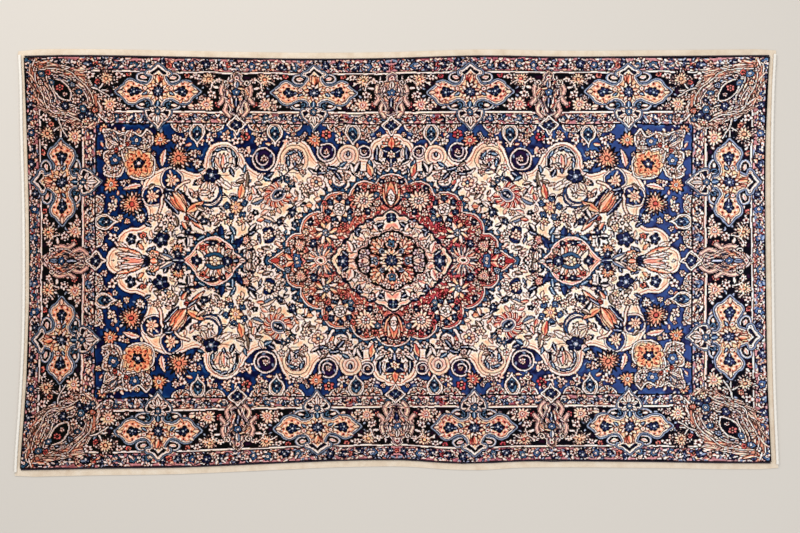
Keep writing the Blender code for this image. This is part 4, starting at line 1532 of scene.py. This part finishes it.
def cotton_cloth_material():
    """Plain-weave cotton, a little soiled and yellowed in patches."""
    material, add, feed = node_material("cotton_cloth", Roughness=0.92, Specular_IOR_Level=0.2)
    place = add("TexCoord").outputs["Object"]
    warp = add("TexWave", {"Vector": place}, bands_direction="X", Scale=260.0, Distortion=1.2)
    weft = add("TexWave", {"Vector": place}, bands_direction="Y", Scale=260.0, Distortion=1.2)
    weave = add("Math", {0: warp.outputs["Fac"], 1: weft.outputs["Fac"]}, operation="MULTIPLY")
    threads = add("ValToRGB", {"Fac": weave.outputs["Value"]})
    ramp(threads, (0.0, (0.80, 0.78, 0.76)), (0.6, (1.04, 1.04, 1.04)))
    soil = add("TexNoise", {"Vector": place}, Scale=26.0, Detail=6.0, Roughness=0.65)
    tint = add("ValToRGB", {"Fac": soil.outputs["Fac"]})
    ramp(tint, (0.30, (0.78, 0.63, 0.48)), (0.52, (0.88, 0.75, 0.60)), (0.74, (0.93, 0.83, 0.71)))
    colour = multiply(add, tint.outputs["Color"], threads.outputs["Color"])
    bump = add("Bump", {"Height": weave.outputs["Value"]}, Strength=0.5, Distance=0.0006)
    feed(Base_Color=colour, Normal=bump.outputs["Normal"])
    return material


# ---------------------------------------------------------------- the knotted pile

PILE_EDGE_ROUND = 0.0012
DARK_WOOL_WEAR = 0.00035  # how much lower the brittle dark wool is worn
DARK_WOOL = 0.12  # how light a knot may be and still be worn so
SHEARING = 0.00012  # how unevenly the pile is cut


def pile_heights(dyes, top):
    """Height of the pile at each corner of the knot grid: uneven, and worn lower where it is dark."""
    rng = np.random.default_rng(65)
    light = dyes.mean(2)
    worn = -DARK_WOOL_WEAR * np.clip(1 - light / DARK_WOOL, 0, 1)
    knots = np.pad(worn, 1, mode="edge")
    corners = (knots[1:, 1:] + knots[:-1, 1:] + knots[1:, :-1] + knots[:-1, :-1]) / 4
    rows, columns = corners.shape
    rise = corners - rng.uniform(0, SHEARING, (rows, columns))
    from_edge = np.minimum(
        np.minimum(np.arange(rows), np.arange(rows)[::-1])[:, None],
        np.minimum(np.arange(columns), np.arange(columns)[::-1])[None, :],
    )
    rise -= np.where(from_edge == 0, PILE_EDGE_ROUND, np.where(from_edge == 1, PILE_EDGE_ROUND / 5, 0))
    return top + rise


def add_piece(mesh, material):
    """A piece of the scene from its mesh, with the mesh's name."""
    mesh.materials.append(material)
    piece = bpy.data.objects.new(mesh.name, mesh)
    bpy.context.collection.objects.link(piece)
    return piece


def make_pile_strip(name, x, y, z, foot, dyes, material):
    """One closed strip of the pile: a grid of knots on top, walls round it and a plain back."""
    rows, columns = z.shape
    top = np.stack([x, y, z], -1).reshape(-1, 3)
    index = np.arange(rows * columns).reshape(rows, columns)
    quads = np.stack([index[:-1, :-1], index[:-1, 1:], index[1:, 1:], index[1:, :-1]], -1).reshape(-1, 4)
    # the foot repeats the top's outer ring: near side, right end, far side, left end
    front = np.stack([x[0], y[0], np.full(columns, foot)], -1)
    back = np.stack([x[-1], y[-1], np.full(columns, foot)], -1)
    front_index = rows * columns + np.arange(columns)
    back_index = front_index + columns
    walls = [
        np.stack([front_index[:-1], front_index[1:], index[0, 1:], index[0, :-1]], -1),
        np.stack([index[-1, :-1], index[-1, 1:], back_index[1:], back_index[:-1]], -1),
        np.stack([back_index[:-1], back_index[1:], front_index[1:], front_index[:-1]], -1),
    ]
    faces = [list(map(int, f)) for f in np.vstack([quads, *walls])]
    faces.append([int(i) for i in (front_index[-1], back_index[-1], *index[::-1, -1])])
    faces.append([int(i) for i in (back_index[0], front_index[0], *index[:, 0])])
    mesh = bpy.data.meshes.new(name)
    mesh.from_pydata(np.vstack([top, front, back]).tolist(), [], faces)
    knots = dyes.reshape(-1, 3)
    colours = np.ones((len(faces), 4))
    colours[: len(knots), :3] = knots
    side = len(knots)
    for strip in (dyes[0], dyes[-1], dyes[0]):
        colours[side: side + columns - 1, :3] = strip
        side += columns - 1
    colours[side:, :3] = dyes[0, 0]
    dye = mesh.attributes.new("dye", "FLOAT_COLOR", "FACE")
    dye.data.foreach_set("color", colours.ravel())
    add_bake_map(mesh, rows - 1, columns - 1)
    return add_piece(mesh, material)


def add_bake_map(mesh, rows, columns):
    """UVs that lay the strip's knots out in two halves, one above the other, with its walls beside."""
    halves = columns // 2
    corner_u = np.array([0, 1, 1, 0])
    corner_v = np.array([0, 0, 1, 1])
    row, column = np.divmod(np.arange(rows * columns), columns)
    upper = (column >= halves).astype(float)
    u = (column - upper * halves)[:, None] + corner_u
    v = row[:, None] + corner_v
    across_share = 0.01 + 0.98 * u / halves
    up_share = 0.01 + 0.44 * v / rows + 0.46 * upper[:, None]
    uv = [np.stack([across_share, up_share], -1).reshape(-1, 2)]
    run = np.arange(columns)[:, None]
    for band in range(3):
        u = 0.01 + 0.98 * (run + corner_u) / columns
        v = 0.925 + 0.016 * band + 0.012 * np.broadcast_to(corner_v, u.shape)
        uv.append(np.stack([u, v], -1).reshape(-1, 2))
    for end in range(2):
        count = rows + 3
        angle = 2 * math.pi * np.arange(count) / count
        centre = 0.2 + 0.3 * end
        uv.append(np.stack([centre + 0.1 * np.cos(angle), 0.985 + 0.008 * np.sin(angle)], -1))
    layer = mesh.uv_layers.new(name="OFBake")
    layer.data.foreach_set("uv", np.vstack(uv).ravel())


def make_pile():
    """The pile in strips, since all its knots in one mesh would be too many."""
    sides = outline_sides("knotted_pile")
    low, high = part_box("knotted_pile")
    dyes = knot_dyes()
    z = pile_heights(dyes, high.z)
    u = EDGE_U * np.linspace(-1, 1, KNOT_COLUMNS + 1)[None, :]
    v = EDGE_V * np.linspace(-1, 1, KNOT_ROWS + 1)[:, None]
    x, y = lay_out(u, v, sides)
    material = wool_pile_material()
    rows = KNOT_ROWS // PILE_STRIPS
    for strip in range(PILE_STRIPS):
        grid = slice(strip * rows, (strip + 1) * rows + 1)
        knots = slice(strip * rows, (strip + 1) * rows)
        piece = make_pile_strip(
            f"knotted_pile_strip_{strip + 1}", x[grid], y[grid], z[grid], low.z, dyes[knots], material
        )
        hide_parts("knotted_pile")
        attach(piece, "root")


# ---------------------------------------------------------------- cords and cloth

RING_SPACING = 0.046  # between the rings of the CAD cords
WRAP_STEP = 0.0012  # from ring to ring of a side cord; every other ring is a ridge
WRAP_RADIUS = 0.00235
WRAP_RIDGE = 0.00013
WRAP_WOBBLE = 0.00012
PLY_STEP = 0.0022  # from ring to ring of an end cord
PLY_RADIUS = 0.00265
PLY_RIDGE = 0.00032
PLY_TWIST = 0.9  # radians a ring
PLIES = 3
PLY_FLATNESS = 1.7  # width over height
SLUB = 0.00025  # how deep the thin places of the spun cotton are
CLOTH_COLUMNS = 150
CLOTH_ROWS = 84


def cord_path(node, step):
    """The middle line of a straight-lying CAD cord, from its rings, spaced step apart."""
    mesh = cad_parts[node].data
    points = np.array([v.co for v in mesh.vertices])
    axis = int(np.argmax(np.ptp(points, axis=0)))
    order = points[np.argsort(points[:, axis])]
    rings = np.array_split(order, max(2, round(np.ptp(order[:, axis]) / RING_SPACING)))
    middle = np.array([(r.min(0) + r.max(0)) / 2 for r in rings])
    middle[0, axis] = order[0, axis]
    middle[-1, axis] = order[-1, axis]
    run = np.linspace(middle[0, axis], middle[-1, axis], round(np.ptp(middle[:, axis]) / step) + 1)
    return np.stack([np.interp(run, middle[:, axis], middle[:, k]) for k in range(3)], 1)


def closed_mesh(name, bm):
    """A mesh from bmesh's faces, which all face outward."""
    bmesh.ops.recalc_face_normals(bm, faces=bm.faces)
    mesh = bpy.data.meshes.new(name)
    bm.to_mesh(mesh)
    bm.free()
    return mesh


def make_round_cord(name, path, radius_at, sides, material, spread=1.0):
    """A closed tube along the path; radius_at(ring, angle) gives its surface, spread its width."""
    bm = bmesh.new()
    rings = []
    for i, point in enumerate(path):
        way = path[min(i + 1, len(path) - 1)] - path[max(i - 1, 0)]
        way = way / np.linalg.norm(way)
        flat = np.array((-way[1], way[0], 0.0))
        ring = []
        for k in range(sides):
            angle = 2 * math.pi * k / sides
            reach = radius_at(i, angle)
            rise = np.array((0, 0, reach * math.sin(angle)))
            ring.append(bm.verts.new(point + flat * reach * spread * math.cos(angle) + rise))
        rings.append(ring)
    for low, high in zip(rings, rings[1:]):
        for k in range(sides):
            j = (k + 1) % sides
            bm.faces.new((low[k], low[j], high[j], high[k]))
    bm.faces.new(rings[0][::-1])
    bm.faces.new(rings[-1])
    mesh = closed_mesh(name, bm)
    mesh.shade_smooth()
    return add_piece(mesh, material)


def finish_cord(piece, node):
    """Ties a cord to the CAD cord that it stands for."""
    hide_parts(node)
    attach(piece, "root")


def make_side_cords():
    """The overcast sides: dark wool wound round and round, each turn a small ridge."""
    material = thread_material("overcast_wool", (0.006, 0.004, 0.010), (0.045, 0.028, 0.042), 900.0, 0.9)
    rng = np.random.default_rng(71)
    for node in ("side_cord_near", "side_cord_far"):
        path = cord_path(node, WRAP_STEP)
        wobble = rng.uniform(-WRAP_WOBBLE, WRAP_WOBBLE, len(path))

        def radius_at(ring, _):
            return WRAP_RADIUS + WRAP_RIDGE * (-1) ** ring + wobble[ring]

        piece = make_round_cord(node + "_wraps", path, radius_at, 6, material)
        finish_cord(piece, node)


def make_end_cords():
    """The white cords at the cloth's ends: three plies twisted together."""
    material = thread_material("white_cord_cotton", (0.74, 0.68, 0.60), (0.94, 0.91, 0.86), 700.0, 0.85)
    rng = np.random.default_rng(72)
    for node in ("end_cord_left", "end_cord_right"):
        path = cord_path(node, PLY_STEP)
        slubs = np.abs(rng.normal(0, 0.6, len(path)))

        def radius_at(ring, angle):
            return PLY_RADIUS + PLY_RIDGE * math.cos(PLIES * angle - ring * PLY_TWIST) - SLUB * slubs[ring]

        piece = make_round_cord(node + "_plies", path, radius_at, 9, material, PLY_FLATNESS)
        finish_cord(piece, node)


def make_margin_cloth():
    """The cream cloth under the rug, as a grid whose outer rows show beside the pile."""
    sides = outline_sides("margin_cloth")
    low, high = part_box("margin_cloth")
    columns, rows = CLOTH_COLUMNS, CLOTH_ROWS
    u = np.sin(np.linspace(-1, 1, columns + 1) * math.pi / 2)[None, :]
    v = np.sin(np.linspace(-1, 1, rows + 1) * math.pi / 2)[:, None]
    u, v = np.broadcast_arrays(u, v)
    x, y = u * high.x, v * high.y
    for _ in range(FITTING_ROUNDS):
        left, right = ends_at(sides, y)
        x = left + (right - left) * (u + 1) / 2
        near, far = edges_at(sides, x)
        y = near + (far - near) * (v + 1) / 2
    bm = bmesh.new()
    layers = []
    for height in (high.z, low.z):
        layers.append([[bm.verts.new((x[j, i], y[j, i], height)) for i in range(columns + 1)]
                       for j in range(rows + 1)])
    top, bottom = layers
    for j in range(rows):
        for i in range(columns):
            bm.faces.new((top[j][i], top[j][i + 1], top[j + 1][i + 1], top[j + 1][i]))
            bm.faces.new((bottom[j][i], bottom[j + 1][i], bottom[j + 1][i + 1], bottom[j][i + 1]))
    ring = [(0, i) for i in range(columns)] + [(j, columns) for j in range(rows)]
    ring += [(rows, i) for i in range(columns, 0, -1)] + [(j, 0) for j in range(rows, 0, -1)]
    for (j0, i0), (j1, i1) in zip(ring, ring[1:] + ring[:1]):
        bm.faces.new((bottom[j0][i0], bottom[j1][i1], top[j1][i1], top[j0][i0]))
    piece = add_piece(closed_mesh("margin_cloth_weave", bm), cotton_cloth_material())
    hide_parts("margin_cloth")
    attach(piece, "root")


# ---------------------------------------------------------------- floor, light and camera

VIEW_WIDTH = 2.4  # metres across the photo
VIEW_CENTRE = (0.0105, -0.0105)
LENS = 50.0
FLOOR_SIZE = 30.0
FLOOR_DROP = 0.0005  # how far the floor lies under the cloth


def make_floor():
    """The plain pale floor, which is only a stage."""
    material, _, _ = node_material("pale_floor", Base_Color=(0.64, 0.60, 0.55, 1.0), Roughness=0.9)
    bpy.ops.mesh.primitive_plane_add(size=FLOOR_SIZE, location=(0, 0, -FLOOR_DROP))
    floor = bpy.context.object
    floor.name = "floor"
    floor.data.materials.append(material)


def make_light(name, location, energy, size, colour):
    """A square lamp that points at the middle of the rug."""
    data = bpy.data.lights.new(name, "AREA")
    data.energy = energy
    data.size = size
    data.color = colour
    light = bpy.data.objects.new(name, data)
    light.location = location
    light.rotation_euler = (Vector((0, 0, 0)) - Vector(location)).to_track_quat("-Z", "Y").to_euler()
    bpy.context.collection.objects.link(light)


def make_lights():
    """Soft daylight from a window at the far left and from the sky, and an even fill."""
    make_light("window", (-1.6, 2.6, 3.4), 110.0, 2.5, (1.0, 0.97, 0.93))
    make_light("sky", (1.8, -1.0, 4.2), 70.0, 3.5, (0.95, 0.98, 1.0))
    world = bpy.data.worlds.new("studio")
    world.use_nodes = True
    background = world.node_tree.nodes["Background"]
    background.inputs["Color"].default_value = (1.0, 1.0, 1.0, 1.0)
    background.inputs["Strength"].default_value = 0.55
    bpy.context.scene.world = world


def make_camera():
    """The photo's view, straight down."""
    data = bpy.data.cameras.new("camera")
    data.lens = LENS
    distance = VIEW_WIDTH * LENS / data.sensor_width
    camera = bpy.data.objects.new("camera", data)
    camera.location = (*VIEW_CENTRE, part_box("knotted_pile")[1].z + distance)
    bpy.context.collection.objects.link(camera)
    bpy.context.scene.camera = camera


bpy.context.scene.view_settings.view_transform = "Standard"
make_pile()
make_side_cords()
make_end_cords()
make_margin_cloth()
make_floor()
make_lights()
make_camera()
